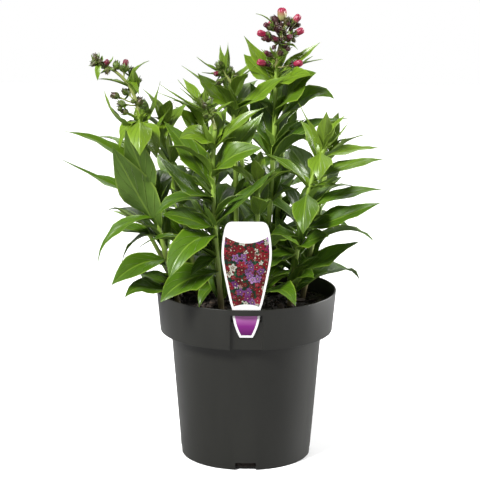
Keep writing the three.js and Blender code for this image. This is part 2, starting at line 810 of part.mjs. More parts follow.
const between = randomFrom(pairSeed);
for (const [name, rule] of Object.entries(pairs)) {
  const stem = stems[name];
  const heights = [];
  for (let z = lowestPair; z < stem.top - 20; z += pairStep) heights.push(z);
  crownDepths.forEach((depth) => heights.push(stem.top - depth));
  heights.forEach((height, i) => {
    const age = 1 - (height - lowestPair) / (stem.top - lowestPair);
    for (const half of [0, 180]) {
      const direction = rule.turn + 90 * i + half + between(-8, 8);
      const leaf = {
        direction,
        length: rule.length * (0.42 + 0.58 * age ** 0.6) * between(0.9, 1.08),
        width: rule.width * (0.4 + 0.6 * age ** 0.6),
        slope: 60 - 55 * age ** 0.5 + between(-6, 6),
        droop: 20 + 45 * age,
        roll: between(-15, 15),
      };
      if (inSector(direction, rule.sector)) grow(name, placesOfPair(stem, height, leaf));
    }
  });
}

for (const [name, pieces] of Object.entries(growth)) {
  const body = pieces.reduce((sum, piece) => sum.add(piece));
  addNode(`stem_${name}`, body, leafGreen);
}

export default part;
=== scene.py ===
"""A young bedding penstemon in bud, in its nursery pot with a plant label.

The CAD solids of the frame are replaced piece by piece with finer ones that keep their
places. Places on the plant are written in millimetres, as they are measured, and are
turned into metres where a mesh is made. +Z is up and -Y is the front.
"""
import math
import random

import bpy
import numpy as np
from mathutils import Matrix, Vector, noise
from mathutils.kdtree import KDTree


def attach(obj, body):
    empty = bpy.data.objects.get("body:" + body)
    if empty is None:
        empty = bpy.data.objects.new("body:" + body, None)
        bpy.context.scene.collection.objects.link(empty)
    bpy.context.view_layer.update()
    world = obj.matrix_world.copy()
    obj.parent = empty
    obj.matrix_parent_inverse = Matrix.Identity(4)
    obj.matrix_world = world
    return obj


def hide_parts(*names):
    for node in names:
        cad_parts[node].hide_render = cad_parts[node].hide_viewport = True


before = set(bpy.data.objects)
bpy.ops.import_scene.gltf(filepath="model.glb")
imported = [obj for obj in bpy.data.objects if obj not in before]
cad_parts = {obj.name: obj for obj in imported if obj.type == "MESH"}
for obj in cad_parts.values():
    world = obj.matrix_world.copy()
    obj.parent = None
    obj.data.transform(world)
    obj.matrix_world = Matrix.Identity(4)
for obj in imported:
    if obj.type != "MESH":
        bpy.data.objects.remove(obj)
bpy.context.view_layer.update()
MM = 0.001

# Camera: a long lens a little above the rim of the pot, as the photograph was taken. The
# pot's axis stood a few pixels to the right of the middle of a picture 480 pixels wide.
picture_width = 480
axis_pixel = 246.7
lens_length = 154.7
sensor_width = 36
camera_distance = 1.6
camera_elevation = math.radians(12.6)
camera_roll = math.radians(0.3)
camera_aim = Vector((0, 0, 0.1705))


def set_out(name, data):
    """A new object in the scene."""
    piece = bpy.data.objects.new(name, data)
    bpy.context.scene.collection.objects.link(piece)
    return piece


camera_data = bpy.data.cameras.new("camera")
camera_data.sensor_width = sensor_width
camera_data.lens = lens_length
camera_data.shift_x = (picture_width / 2 - axis_pixel) / picture_width
camera = set_out("camera", camera_data)
camera.matrix_world = (
    Matrix.Translation(camera_aim)
    @ Matrix.Rotation(math.pi / 2 - camera_elevation, 4, "X")
    @ Matrix.Rotation(camera_roll, 4, "Z")
    @ Matrix.Translation((0, 0, camera_distance))
)
bpy.context.scene.camera = camera

# Studio: a plain pale floor before a white sky, which both look brighter to the camera than
# they shine. Soft lights stand high on the left, weakly at the front right, low on the right
# for the edge of the pot, and behind for the rims of the leaves.
floor_size = 4
floor_shine = (0.3, 0.3, 0.3)
floor_face = (0.97, 0.97, 0.97)
sky_shine = 0.27
sky_face = 1
lights = {
    "key": {"place": (-1.5, -1.6, 2.2), "size": 0.8, "power": 172},
    "fill": {"place": (2.2, -1.2, 1.0), "size": 1.6, "power": 11},
    "side": {"place": (1.9, 0.8, 0.5), "size": 1.5, "power": 120},
    "rim": {"place": (0.2, 2.2, 2.6), "size": 1.8, "power": 30},
}


class Wire:
    """A value between shader nodes, written in ordinary sums that add Math nodes."""

    def __init__(self, finish, socket):
        self.finish = finish
        self.socket = socket

    def maths(self, operation, *values):
        return self.finish.node("ShaderNodeMath", {"operation": operation}, dict(enumerate(values)))

    def __add__(self, other):
        return self.maths("ADD", self, other)

    def __sub__(self, other):
        return self.maths("SUBTRACT", self, other)

    def __rsub__(self, other):
        return self.maths("SUBTRACT", other, self)

    def __mul__(self, other):
        return self.maths("MULTIPLY", self, other)

    def __truediv__(self, other):
        return self.maths("DIVIDE", self, other)

    def __rtruediv__(self, other):
        return self.maths("DIVIDE", other, self)

    def __pow__(self, other):
        return self.maths("POWER", self, other)

    def __abs__(self):
        return self.maths("ABSOLUTE", self)

    def __lt__(self, other):
        return self.maths("LESS_THAN", self, other)

    __radd__ = __add__
    __rmul__ = __mul__

    def sine(self):
        return self.maths("SINE", self)

    def fraction(self):
        return self.maths("FRACT", self)

    def step(self, low, high):
        """Rises smoothly from 0 where the value is low to 1 where it is high."""
        return self.finish.node(
            "ShaderNodeMapRange",
            {"interpolation_type": "SMOOTHSTEP"},
            {"Value": self, "From Min": low, "From Max": high},
        )


class Finish:
    """A material: constants are set on the shader itself, and what varies is linked to it."""

    def __init__(self, name, constants):
        self.material = bpy.data.materials.new(name)
        self.material.use_nodes = True
        self.tree = self.material.node_tree
        self.shader = self.tree.nodes["Principled BSDF"]
        for socket, value in constants.items():
            self.shader.inputs[socket].default_value = value

    def node(self, kind, settings=None, inputs=None, output=0):
        node = self.tree.nodes.new(kind)
        for name, value in (settings or {}).items():
            if name == "stops":
                for place, colour in value[2:]:
                    node.color_ramp.elements.new(place)
                for element, (place, colour) in zip(node.color_ramp.elements, value):
                    element.position = place
                    element.color = (*colour, 1)
            else:
                setattr(node, name, value)
        for name, value in (inputs or {}).items():
            self.feed(node.inputs[name], value)
        return Wire(self, node.outputs[output])

    def feed(self, socket, value):
        if isinstance(value, Wire):
            self.tree.links.new(value.socket, socket)
        elif socket.type == "RGBA":
            socket.default_value = (*value, 1)
        else:
            socket.default_value = value

    def blend(self, low, high, share):
        """A colour between two others."""
        return self.node(
            "ShaderNodeMix", {"data_type": "RGBA"}, {0: share, 6: low, 7: high}, output=2
        )

    def place(self):
        return self.node("ShaderNodeTexCoord", output="Object")

    def attribute(self, name):
        return self.node("ShaderNodeAttribute", {"attribute_name": name}, output="Fac")

    def axes(self, vector):
        split = self.node("ShaderNodeSeparateXYZ", inputs={0: vector})
        return [Wire(self, socket) for socket in split.socket.node.outputs]

    def grain(self, scale, detail=3, stretch=(1, 1, 1), vector=None):
        """Noise between 0 and 1 with so many waves to the metre."""
        spread = self.node("ShaderNodeMapping", inputs={0: vector or self.place(), 3: stretch})
        return self.node(
            "ShaderNodeTexNoise", inputs={"Vector": spread, "Scale": scale, "Detail": detail}
        )

    def ramp(self, stops, share):
        """A colour between stops, each a place from 0 to 1 and its colour."""
        return self.node("ShaderNodeValToRGB", {"stops": stops}, {0: share})

    def set(self, colour, roughness=None, height=None, depth=0.0002):
        """Links what varies, with a relief of so many metres, and gives the material."""
        self.feed(self.shader.inputs["Base Color"], colour)
        if roughness is not None:
            self.feed(self.shader.inputs["Roughness"], roughness)
        if height is not None:
            bump = self.node("ShaderNodeBump", inputs={"Height": height, "Distance": depth})
            self.feed(self.shader.inputs["Normal"], bump)
        return self.material


def deselect():
    bpy.ops.object.select_all(action="DESELECT")


deselect()
bpy.ops.mesh.primitive_plane_add(size=floor_size)
floor = bpy.context.object
floor.name = "floor"
floor_paint = Finish("pale_floor", {"Roughness": 0.9})
floor_seen = floor_paint.node("ShaderNodeLightPath", output="Is Camera Ray")
floor_tone = floor_paint.blend(floor_shine, floor_face, floor_seen)
floor.data.materials.append(floor_paint.set(colour=floor_tone))

for name, light in lights.items():
    lamp_data = bpy.data.lights.new(name, "AREA")
    lamp_data.shape = "SQUARE"
    lamp_data.size = light["size"]
    lamp_data.energy = light["power"]
    lamp = set_out(name, lamp_data)
    lamp.location = light["place"]
    lamp.rotation_euler = (camera_aim - lamp.location).to_track_quat("-Z", "Y").to_euler()

world = bpy.data.worlds.new("white_sky")
bpy.context.scene.world = world
bpy.context.scene.view_settings.view_transform = "Standard"
world.use_nodes = True
sky = world.node_tree.nodes["Background"]
sky.inputs["Color"].default_value = (1, 1, 1, 1)
seen = world.node_tree.nodes.new("ShaderNodeLightPath")
glow = world.node_tree.nodes.new("ShaderNodeMapRange")
glow.inputs["To Min"].default_value = sky_shine
glow.inputs["To Max"].default_value = sky_face
world.node_tree.links.new(seen.outputs["Is Camera Ray"], glow.inputs["Value"])
world.node_tree.links.new(glow.outputs["Result"], sky.inputs["Strength"])

# Pot: a thin-walled nursery pot of black plastic, moulded in one piece with a wide band
# round its rim. The band has a recess at the front, closed at its top by a bridge with a
# slot behind it for the label, and the foot has four drain notches.
pot_height = 132 * MM
rim_radius = 70 * MM
band_height = 32 * MM
band_foot_radius = 67 * MM
shoulder_radius = 58.7 * MM
base_radius = 50.5 * MM
wall = 1.5 * MM
floor_thickness = 2 * MM
edge_round = 0.6 * MM
pot_sides = 160
slot_lean = math.atan2(rim_radius - band_foot_radius, band_height)
recess_width = 24.6 * MM
recess_depth = 3.6 * MM
bridge_height = 4 * MM
slot_width = 23 * MM
slot_opening = 1.5 * MM
drain_width = 16 * MM
drain_height = 6 * MM
drain_depth = 8 * MM
drain_start = 1 * MM
drain_count = 4
recess_round = 0.5 * MM
drain_round = 0.8 * MM

# The pad is the thicker wall behind and beside the recess
pad_side = wall + 0.3 * MM
pad_front = -recess_depth - 2 * MM
pad_lift = 0.2 * MM


def choose(piece):
    """Selects one piece alone and makes it the active one."""
    deselect()
    piece.select_set(True)
    bpy.context.view_layer.objects.active = piece


def piece_of(name):
    """Names the object that was just made, and puts its place into its mesh."""
    piece = bpy.context.object
    piece.name = name
    piece.data.name = name
    choose(piece)
    bpy.ops.object.transform_apply(location=True, rotation=True, scale=True)
    return piece


def apply_modifier(piece, kind, **settings):
    """Changes a piece by a modifier, at once and for good."""
    bpy.context.view_layer.objects.active = piece
    modifier = piece.modifiers.new(kind.title(), kind)
    for name, value in settings.items():
        setattr(modifier, name, value)
    bpy.ops.object.modifier_apply(modifier=modifier.name)


def edit(piece):
    """Goes into edit mode with all of a piece selected."""
    choose(piece)
    bpy.ops.object.mode_set(mode="EDIT")
    bpy.ops.mesh.select_all(action="SELECT")


def pick(piece, kind, test):
    """Goes into edit mode with only the faces or corners selected that pass a test."""
    bpy.context.view_layer.objects.active = piece
    bpy.ops.object.mode_set(mode="EDIT")
    bpy.ops.mesh.select_mode(type=kind)
    bpy.ops.mesh.select_all(action="DESELECT")
    bpy.ops.object.mode_set(mode="OBJECT")
    elements = piece.data.vertices if kind == "VERT" else piece.data.polygons
    for element in elements:
        element.select = test(element)
    bpy.ops.object.mode_set(mode="EDIT")


def lathe(name, profile, sides):
    """A closed shape drawn upward ring by ring from [radius, height] points, as on a wheel."""
    deselect()
    radius, height = profile[0]
    bpy.ops.mesh.primitive_circle_add(
        vertices=sides, radius=radius, location=(0, 0, height), fill_type="NGON"
    )
    bpy.ops.object.mode_set(mode="EDIT")
    for next_radius, next_height in profile[1:]:
        bpy.ops.mesh.extrude_region_move(
            TRANSFORM_OT_translate={"value": (0, 0, next_height - height)}
        )
        bpy.ops.transform.resize(value=(next_radius / radius, next_radius / radius, 1))
        radius, height = next_radius, next_height
    bpy.ops.mesh.select_all(action="SELECT")
    bpy.ops.mesh.normals_make_consistent(inside=False)
    bpy.ops.object.mode_set(mode="OBJECT")
    return piece_of(name)


def rounded(profile, radius, steps=3):
    """The profile with each inner corner cut by a short arc."""
    smooth = [profile[0]]
    for before, corner, after in zip(profile, profile[1:], profile[2:]):
        corner = Vector(corner)
        to_before = Vector(before) - corner
        to_after = Vector(after) - corner
        reach = min(radius, to_before.length / 2.2, to_after.length / 2.2)
        start = corner + to_before.normalized() * reach
        end = corner + to_after.normalized() * reach
        for i in range(steps + 1):
            t = i / steps
            smooth.append(tuple(start * (1 - t) ** 2 + corner * 2 * t * (1 - t) + end * t ** 2))
    return smooth + [profile[-1]]


def at_slot(piece):
    """Leans a piece drawn upright at the slot, with the floor of the recess on y = 0 and the
    rim at z = 0, and moves it to the front of the pot."""
    piece.data.transform(
        Matrix.Translation((0, recess_depth - rim_radius, pot_height))
        @ Matrix.Rotation(slot_lean, 4, "X")
    )
    return piece


def box(name, size, place):
    """A block, to cut with or to join on."""
    deselect()
    bpy.ops.mesh.primitive_cube_add(size=1, location=place, scale=size)
    return piece_of(name)


def cut(piece, tool, operation="DIFFERENCE"):
    """Cuts a tool out of a piece, or joins it on, and takes the tool away."""
    apply_modifier(piece, "BOOLEAN", object=tool, operation=operation, solver="EXACT")
    bpy.data.objects.remove(tool)


def polish(piece, angle=30):
    """Shades a piece smooth, apart from its sharp edges."""
    choose(piece)
    bpy.ops.object.shade_smooth_by_angle(angle=math.radians(angle))


band_foot = pot_height - band_height
outer_profile = [
    (base_radius - edge_round, 0),
    (base_radius, edge_round),
    (shoulder_radius, band_foot),
    (band_foot_radius, band_foot),
    (rim_radius, pot_height),
    (rim_radius - wall, pot_height),
    (band_foot_radius - wall, band_foot + wall),
    (shoulder_radius - wall, band_foot + wall),
    (base_radius - wall, floor_thickness),
    (base_radius - 4 * wall, floor_thickness),
]
pot = lathe("nursery_pot", rounded(outer_profile, edge_round), pot_sides)
outside = [
    (base_radius, 0),
    (shoulder_radius, band_foot),
    (band_foot_radius, band_foot),
    (rim_radius, pot_height),
]
envelope = lathe("envelope", outside, pot_sides)
pad_height = band_height - 1 * MM
pad = at_slot(box(
    "pad",
    (recess_width + 2 * pad_side, pad_side - pad_front, pad_height),
    (0, (pad_side + pad_front) / 2, pad_lift - pad_height / 2),
))
cut(pad, envelope, "INTERSECT")
cut(pot, pad, "UNION")
recess_height = band_height + 6 * MM
recess = box(
    "recess",
    (recess_width, 2 * recess_depth, recess_height),
    (0, -recess_depth, -bridge_height - recess_height / 2),
)
apply_modifier(recess, "BEVEL", width=recess_round, segments=2)
cut(pot, at_slot(recess))
slot = box(
    "slot", (slot_width, slot_opening, 3 * bridge_height), (0, -slot_opening / 2, -bridge_height)
)
cut(pot, at_slot(slot))
for i in range(drain_count):
    notch = box(
        "notch",
        (drain_width, drain_depth, drain_height + 2 * drain_start),
        (0, -base_radius, drain_height / 2 - drain_start),
    )
    apply_modifier(notch, "BEVEL", width=drain_round, segments=2)
    notch.data.transform(Matrix.Rotation(i * math.tau / drain_count, 4, "Z"))
    cut(pot, notch)
polish(pot)

black_plastic = Finish("black_plastic", {"Specular IOR Level": 0.4})
mould_grain = black_plastic.grain(900, detail=2)
dust = black_plastic.grain(60, detail=5, stretch=(1, 1, 0.25))
pot.data.materials.clear()
pot.data.materials.append(black_plastic.set(
    colour=black_plastic.blend((0.011, 0.011, 0.009), (0.019, 0.019, 0.016), dust),
    roughness=0.32 + dust * 0.14,
    height=mould_grain,
    depth=0.00004,
))
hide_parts("pot")
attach(pot, "root")

# Label: a thin plate of white plastic, punched out with a neck that rests in the slot and a
# tail below it. Its face is printed with a picture of mixed blooms under a white head panel,
# and the tail with a purple ground.
label_thickness = 0.6 * MM
label_top = 69
label_widest_at = 45
label_half = 18.7
neck_half = 10.6
tail_length = 22
tail_half = 4.9
print_margin = 1.7 * MM
label_bends = [
    [9.6, -13, 10.3, -bridge_height / MM],
    [neck_half, -2, neck_half, 0],
    [neck_half + 0.3, 2, neck_half + 1.4, 5],
    [label_half - 1.5, label_widest_at - 16, label_half - 0.3, label_widest_at - 6],
    [label_half + 0.2, label_widest_at, label_half - 0.4, label_widest_at + 6],
    [label_half - 1, label_widest_at + 13, label_half - 2.2, label_top - 6],
    [label_half - 3.4, label_top, label_half - 8, label_top],
]


def label_outline(steps=8):
    """The plate's outline: the bends of its right side, and the same mirrored."""
    right = [(tail_half, -tail_length)]
    for bend_x, bend_y, x, y in label_bends:
        start, bend, end = Vector(right[-1]), Vector((bend_x, bend_y)), Vector((x, y))
        for i in range(1, steps + 1):
            t = i / steps
            right.append(tuple(start * (1 - t) ** 2 + bend * 2 * t * (1 - t) + end * t ** 2))
    left = [(-x, y) for x, y in reversed(right)]
    return right + left


def make_label():
    """The plate, drawn flat as a curve with thickness and made a mesh."""
    drawing = bpy.data.curves.new("label_drawing", "CURVE")
    drawing.dimensions = "2D"
    drawing.fill_mode = "BOTH"
    drawing.extrude = label_thickness / 2
    outline = label_outline()
    spline = drawing.splines.new("POLY")
    spline.points.add(len(outline) - 1)
    for point, (x, y) in zip(spline.points, outline):
        point.co = (x * MM, y * MM, 0, 1)
    spline.use_cyclic_u = True
    choose(set_out("plant_label", drawing))
    bpy.ops.object.convert(target="MESH")
    plate = bpy.context.object
    edit(plate)
    bpy.ops.mesh.remove_doubles(threshold=0.01 * MM)
    bpy.ops.mesh.dissolve_limited(angle_limit=math.radians(0.5))
    bpy.ops.mesh.normals_make_consistent(inside=False)
    bpy.ops.object.mode_set(mode="OBJECT")
    return plate


label = make_label()
label_white = (0.86, 0.86, 0.85)
white_plastic = Finish("label_white", {"Roughness": 0.35})
white_tone = white_plastic.grain(40)
label.data.materials.clear()
label.data.materials.append(white_plastic.set(
    colour=white_plastic.blend(label_white, (0.8, 0.8, 0.79), white_tone),
    height=white_tone,
    depth=0.0001,
))

# The print is drawn in millimetres across and up from the rim
ink = Finish("label_print", {"Roughness": 0.4, "Specular IOR Level": 0.25})
across, up, _ = ink.axes(ink.node("ShaderNodeUVMap", {"uv_map": "print"}))
small_bloom = 3.6
large_bloom = 6.4
head_panel_low = 52.4
head_panel_rise = 0.021
foot_panel_high = 4.4
foot_panel_rise = 0.02
tail_shown = 18
drift_colours = [
    (0.0, (0.5, 0.5, 0.42)),
    (0.38, (0.5, 0.5, 0.42)),
    (0.4, (0.2, 0.002, 0.008)),
    (0.49, (0.08, 0.001, 0.004)),
    (0.56, (0.28, 0.012, 0.03)),
    (0.59, (0.1, 0.012, 0.11)),
    (0.75, (0.36, 0.2, 0.42)),
]
ground_colours = [
    (0.4, (0.002, 0.007, 0.004)), (0.62, (0.006, 0.035, 0.014)), (0.72, (0.03, 0.12, 0.05))
]
tail_colours = [
    (0.0, (0.06, 0.004, 0.06)), (0.5, (0.19, 0.015, 0.18)), (1.0, (0.46, 0.17, 0.42))
]


def blooms(size, shift, spread):
    """A scatter of five-petalled blooms of one size, in drifts of like colours: their mask
    and their colour."""
    place = ink.node(
        "ShaderNodeCombineXYZ", inputs={0: across / size + shift, 1: up / size - shift}
    )
    flat = {"voronoi_dimensions": "2D"}
    inputs = {"Vector": place, "Scale": 1.0, "Randomness": spread}
    centre = ink.node("ShaderNodeTexVoronoi", flat, inputs, output="Position")
    lot = ink.axes(ink.node("ShaderNodeTexVoronoi", flat, inputs, output="Color"))
    away = ink.node("ShaderNodeVectorMath", {"operation": "SUBTRACT"}, {0: place, 1: centre})
    away_across, away_up, _ = ink.axes(away)
    distance = (away_across ** 2 + away_up ** 2) ** 0.5
    angle = away_up.maths("ARCTAN2", away_up, away_across)
    share = distance / (0.4 + 0.1 * (angle * 5 + lot[1] * 6).sine())
    drift = ink.node(
        "ShaderNodeTexNoise", inputs={"Vector": centre, "Scale": 0.05 * size, "Detail": 1.0}
    )
    petal = ink.ramp(drift_colours, drift + lot[0] * 0.16 - 0.08)
    shade = share.step(0.9, 0.15) * (0.45 + 0.5 * lot[2])
    shaded = ink.blend(petal, (0.0, 0.0, 0.0), shade)
    eyed = ink.blend(shaded, (0.5, 0.36, 0.2), distance.step(0.1, 0.05) * 0.7)
    return share.step(1.1, 0.95), eyed


streak_place = ink.node("ShaderNodeCombineXYZ", inputs={0: across * 0.5, 1: up * 0.12})
streaks = ink.node(
    "ShaderNodeTexNoise", inputs={"Vector": streak_place, "Scale": 1.0, "Detail": 4}
)
small_mask, small_colour = blooms(small_bloom, 0.3, 0.9)
large_mask, large_colour = blooms(large_bloom, 4.1, 0.85)
picture = ink.blend(ink.ramp(ground_colours, streaks), small_colour, small_mask)
picture = ink.blend(picture, large_colour, large_mask)
in_head = (up - head_panel_low - across ** 2 * head_panel_rise).step(-0.1, 0.1)
in_foot = (up + across ** 2 * foot_panel_rise - foot_panel_high).step(0.1, -0.1)
panels = in_head.maths("MAXIMUM", in_head, in_foot)
printed = ink.blend(picture, label_white, panels)
tail_ground = ink.ramp(tail_colours, (up + tail_length) / tail_shown)
printed = ink.blend(printed, tail_ground, up < -bridge_height / MM)
label.data.materials.append(ink.set(colour=printed))

# The printed field is inset from the plate's outline on its front face
pick(label, "FACE", lambda face: face.normal.z > 0.9)
bpy.ops.mesh.inset(thickness=print_margin, depth=0)
label.active_material_index = 1
bpy.ops.object.material_slot_assign()
bpy.ops.object.mode_set(mode="OBJECT")
print_map = label.data.uv_layers.new(name="print")
for loop in label.data.loops:
    corner = label.data.vertices[loop.vertex_index].co
    print_map.data[loop.index].uv = (corner.x / MM, corner.y / MM)
label.data.transform(
    Matrix.Translation((0, -slot_opening / 2, 0)) @ Matrix.Rotation(math.pi / 2, 4, "X")
)
at_slot(label)
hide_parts("label")
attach(label, "root")

# Potting mix: dark crumbly peat that fills the pot to below the rim, with crumbs and flat
# chips of bark lying on it.
soil_level = 120 * MM
soil_gap = 0.45 * MM
soil_sides = 96
soil_foot = 0.3 * MM
soil_edge = 67 * MM
edge_drop = 2.5 * MM
widest_ring = 65
narrowest_ring = 2
ring_step = 2
crumb_count = 420
crumb_sides = (1.2, 3.6)
crumb_ring = (0, 64)
chip_count = 70
chip_lengths = (5, 12)
chip_breadths = (0.35, 0.6)
chip_heights = (1.2, 2.4)
chip_ring = (6, 59)
chip_tilt = 0.4
litter_seed = 5517
dice = random.Random(litter_seed)

soil_profile = [
    (base_radius - wall - 2 * soil_gap, floor_thickness + soil_foot),
    (shoulder_radius - wall - soil_gap, band_foot + wall + soil_foot),
    (band_foot_radius - wall - soil_gap, band_foot + wall + soil_foot),
    (soil_edge, soil_level - edge_drop),
]
rings = range(widest_ring, narrowest_ring, -ring_step)
soil_profile += [(radius * MM, soil_level) for radius in rings]
soil = lathe("potting_mix", soil_profile, soil_sides)


def soil_height(x, y):
    """How far the surface stands above its level at a place in millimetres."""
    broad = 0.9 * math.sin(x / 5.3 + y / 9.7) + 0.8 * math.cos(y / 4.9 - x / 11.3)
    fine = 1.6 * noise.noise(Vector((x / 2.4, y / 2.4, 0)))
    return broad + fine + 1 - math.hypot(x, y) / 56


for vertex in soil.data.vertices:
    x, y, z = vertex.co / MM
    if z > soil_level / MM - 1:
        vertex.co.z += soil_height(x, y) * MM
soil_pad = at_slot(box(
    "soil_pad",
    (recess_width + 2 * pad_side + 2 * soil_gap, 20 * MM, 3 * band_height),
    (0, pad_side + soil_gap - 10 * MM, -band_height),
))
cut(soil, soil_pad)
polish(soil, 60)


def copy_of(blank, name):
    """A copy with a mesh of its own."""
    return set_out(name, blank.data.copy())


def lay_on_soil(blank, size, ring, tilt):
    """A copy of a crumb or chip, turned and laid at a drawn place on the soil."""
    away = math.sqrt(dice.uniform(ring[0] ** 2, ring[1] ** 2))
    turn = dice.uniform(0, math.tau)
    x, y = away * math.cos(turn), away * math.sin(turn)
    crumb = copy_of(blank, blank.name)
    height = soil_level / MM + soil_height(x, y) + 0.2 * size[2]
    crumb.data.transform(
        Matrix.Translation(Vector((x, y, height)) * MM)
        @ Matrix.Rotation(dice.uniform(0, math.tau), 4, "Z")
        @ Matrix.Rotation(dice.uniform(-tilt, tilt), 4, "X")
        @ Matrix.Rotation(dice.uniform(-tilt, tilt), 4, "Y")
        @ Matrix.Diagonal((*(side * MM for side in size), 1))
    )
    return crumb


def roughen(piece, amount):
    """Moves the corners of a crumb or chip a little, so that it looks broken."""
    for vertex in piece.data.vertices:
        vertex.co += noise.noise_vector(vertex.co * 3.1) * amount
    polish(piece, 40)


deselect()
bpy.ops.mesh.primitive_ico_sphere_add(subdivisions=1, radius=0.55)
crumb_blank = piece_of("crumb")
roughen(crumb_blank, 0.25)
deselect()
bpy.ops.mesh.primitive_cube_add(size=1)
chip_blank = piece_of("bark_chip")
apply_modifier(chip_blank, "BEVEL", width=0.12, segments=1)
apply_modifier(chip_blank, "SUBSURF", levels=1, render_levels=1, subdivision_type="SIMPLE")
roughen(chip_blank, 0.12)

peat_colours = [
    (0.3, (0.004, 0.003, 0.002)), (0.55, (0.018, 0.012, 0.008)), (0.75, (0.05, 0.032, 0.02))
]
bark_colours = [
    (0.35, (0.012, 0.008, 0.006)), (0.55, (0.05, 0.033, 0.022)), (0.75, (0.13, 0.09, 0.06))
]
peat = Finish("peat", {"Roughness": 0.95})
peat_grain = peat.grain(420, detail=6)
peat_material = peat.set(peat.ramp(peat_colours, peat_grain), height=peat_grain, depth=0.0012)
bark = Finish("bark", {"Roughness": 0.85})
bark_grain = bark.grain(160, detail=6, stretch=(1, 4, 4))
bark_material = bark.set(bark.ramp(bark_colours, bark_grain), height=bark_grain, depth=0.0008)
soil.data.materials.append(peat_material)
crumb_blank.data.materials.append(peat_material)
chip_blank.data.materials.append(bark_material)
litter = []
for _ in range(crumb_count):
    side = dice.uniform(*crumb_sides)
    size = (side, side * 0.8, side * 0.7)
    litter.append(lay_on_soil(crumb_blank, size, crumb_ring, math.pi))
for _ in range(chip_count):
    length = dice.uniform(*chip_lengths)
    size = (length, length * dice.uniform(*chip_breadths), dice.uniform(*chip_heights))
    litter.append(lay_on_soil(chip_blank, size, chip_ring, chip_tilt))


def join(whole, parts):
    """Makes the parts one object with the whole."""
    choose(whole)
    for part in parts:
        part.select_set(True)
    bpy.ops.object.join()


join(soil, litter)
bpy.data.objects.remove(crumb_blank)
bpy.data.objects.remove(chip_blank)
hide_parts("soil")
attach(soil, "root")

# Leafy stems: thirteen soft upright shoots rise out of the mix, each with stalkless leaves
# in opposite pairs. A leaf is one thin blade, folded up along its midrib, with two waved
# margins and a long drawn-out point. Each stem passes through four points at equal steps.
stem_foot = 95
stem_foot_radius = 2.4
stem_top_radius = 1.5
stem_sides = 8
stem_steps = 28
bare_above = 150
blade_thickness = 0.5
rib_drop = 0.9
rib_half = 0.14
groove_depth = 0.3
bend_reach = 0.38
blade_fold = 20
margin_wave = 0.07
margin_ripple = 0.02
stem_bulge = 0.4

stems = {
    "left": {"top": 270, "x": [-48, -60, -73, -82], "y": [-5, -15, -24, -24]},
    "front": {"top": 263, "x": [-18, -21, -25, -24], "y": [-30, -41, -43, -40]},
    "middle": {"top": 290, "x": [-8, -8, -9, -12], "y": [10, 14, 15, 12]},
    "tall": {"top": 303, "x": [10, 16, 20, 22], "y": [6, 10, 12, 10]},
    "right": {"top": 250, "x": [30, 36, 43, 59], "y": [-8, -19, -27, -28]},
    "inner": {"top": 264, "x": [-33, -42, -53, -64], "y": [10, 6, 0, -5]},
    "low": {"top": 184, "x": [-44, -54, -68, -83], "y": [22, 20, 19, 15]},
    "short": {"top": 226, "x": [5, 7, 8, 8], "y": [-28, -33, -36, -38]},
    "back_1": {"top": 262, "x": [-22, -26, -31, -38], "y": [36, 43, 50, 56]},
    "back_2": {"top": 282, "x": [18, 23, 27, 30], "y": [36, 42, 48, 52]},
    "back_3": {"top": 240, "x": [40, 48, 56, 66], "y": [14, 18, 21, 24]},
    "back_4": {"top": 228, "x": [-36, -46, -55, -64], "y": [34, 42, 49, 56]},
    "back_5": {"top": 246, "x": [2, 0, -3, -4], "y": [48, 57, 65, 72]},
}

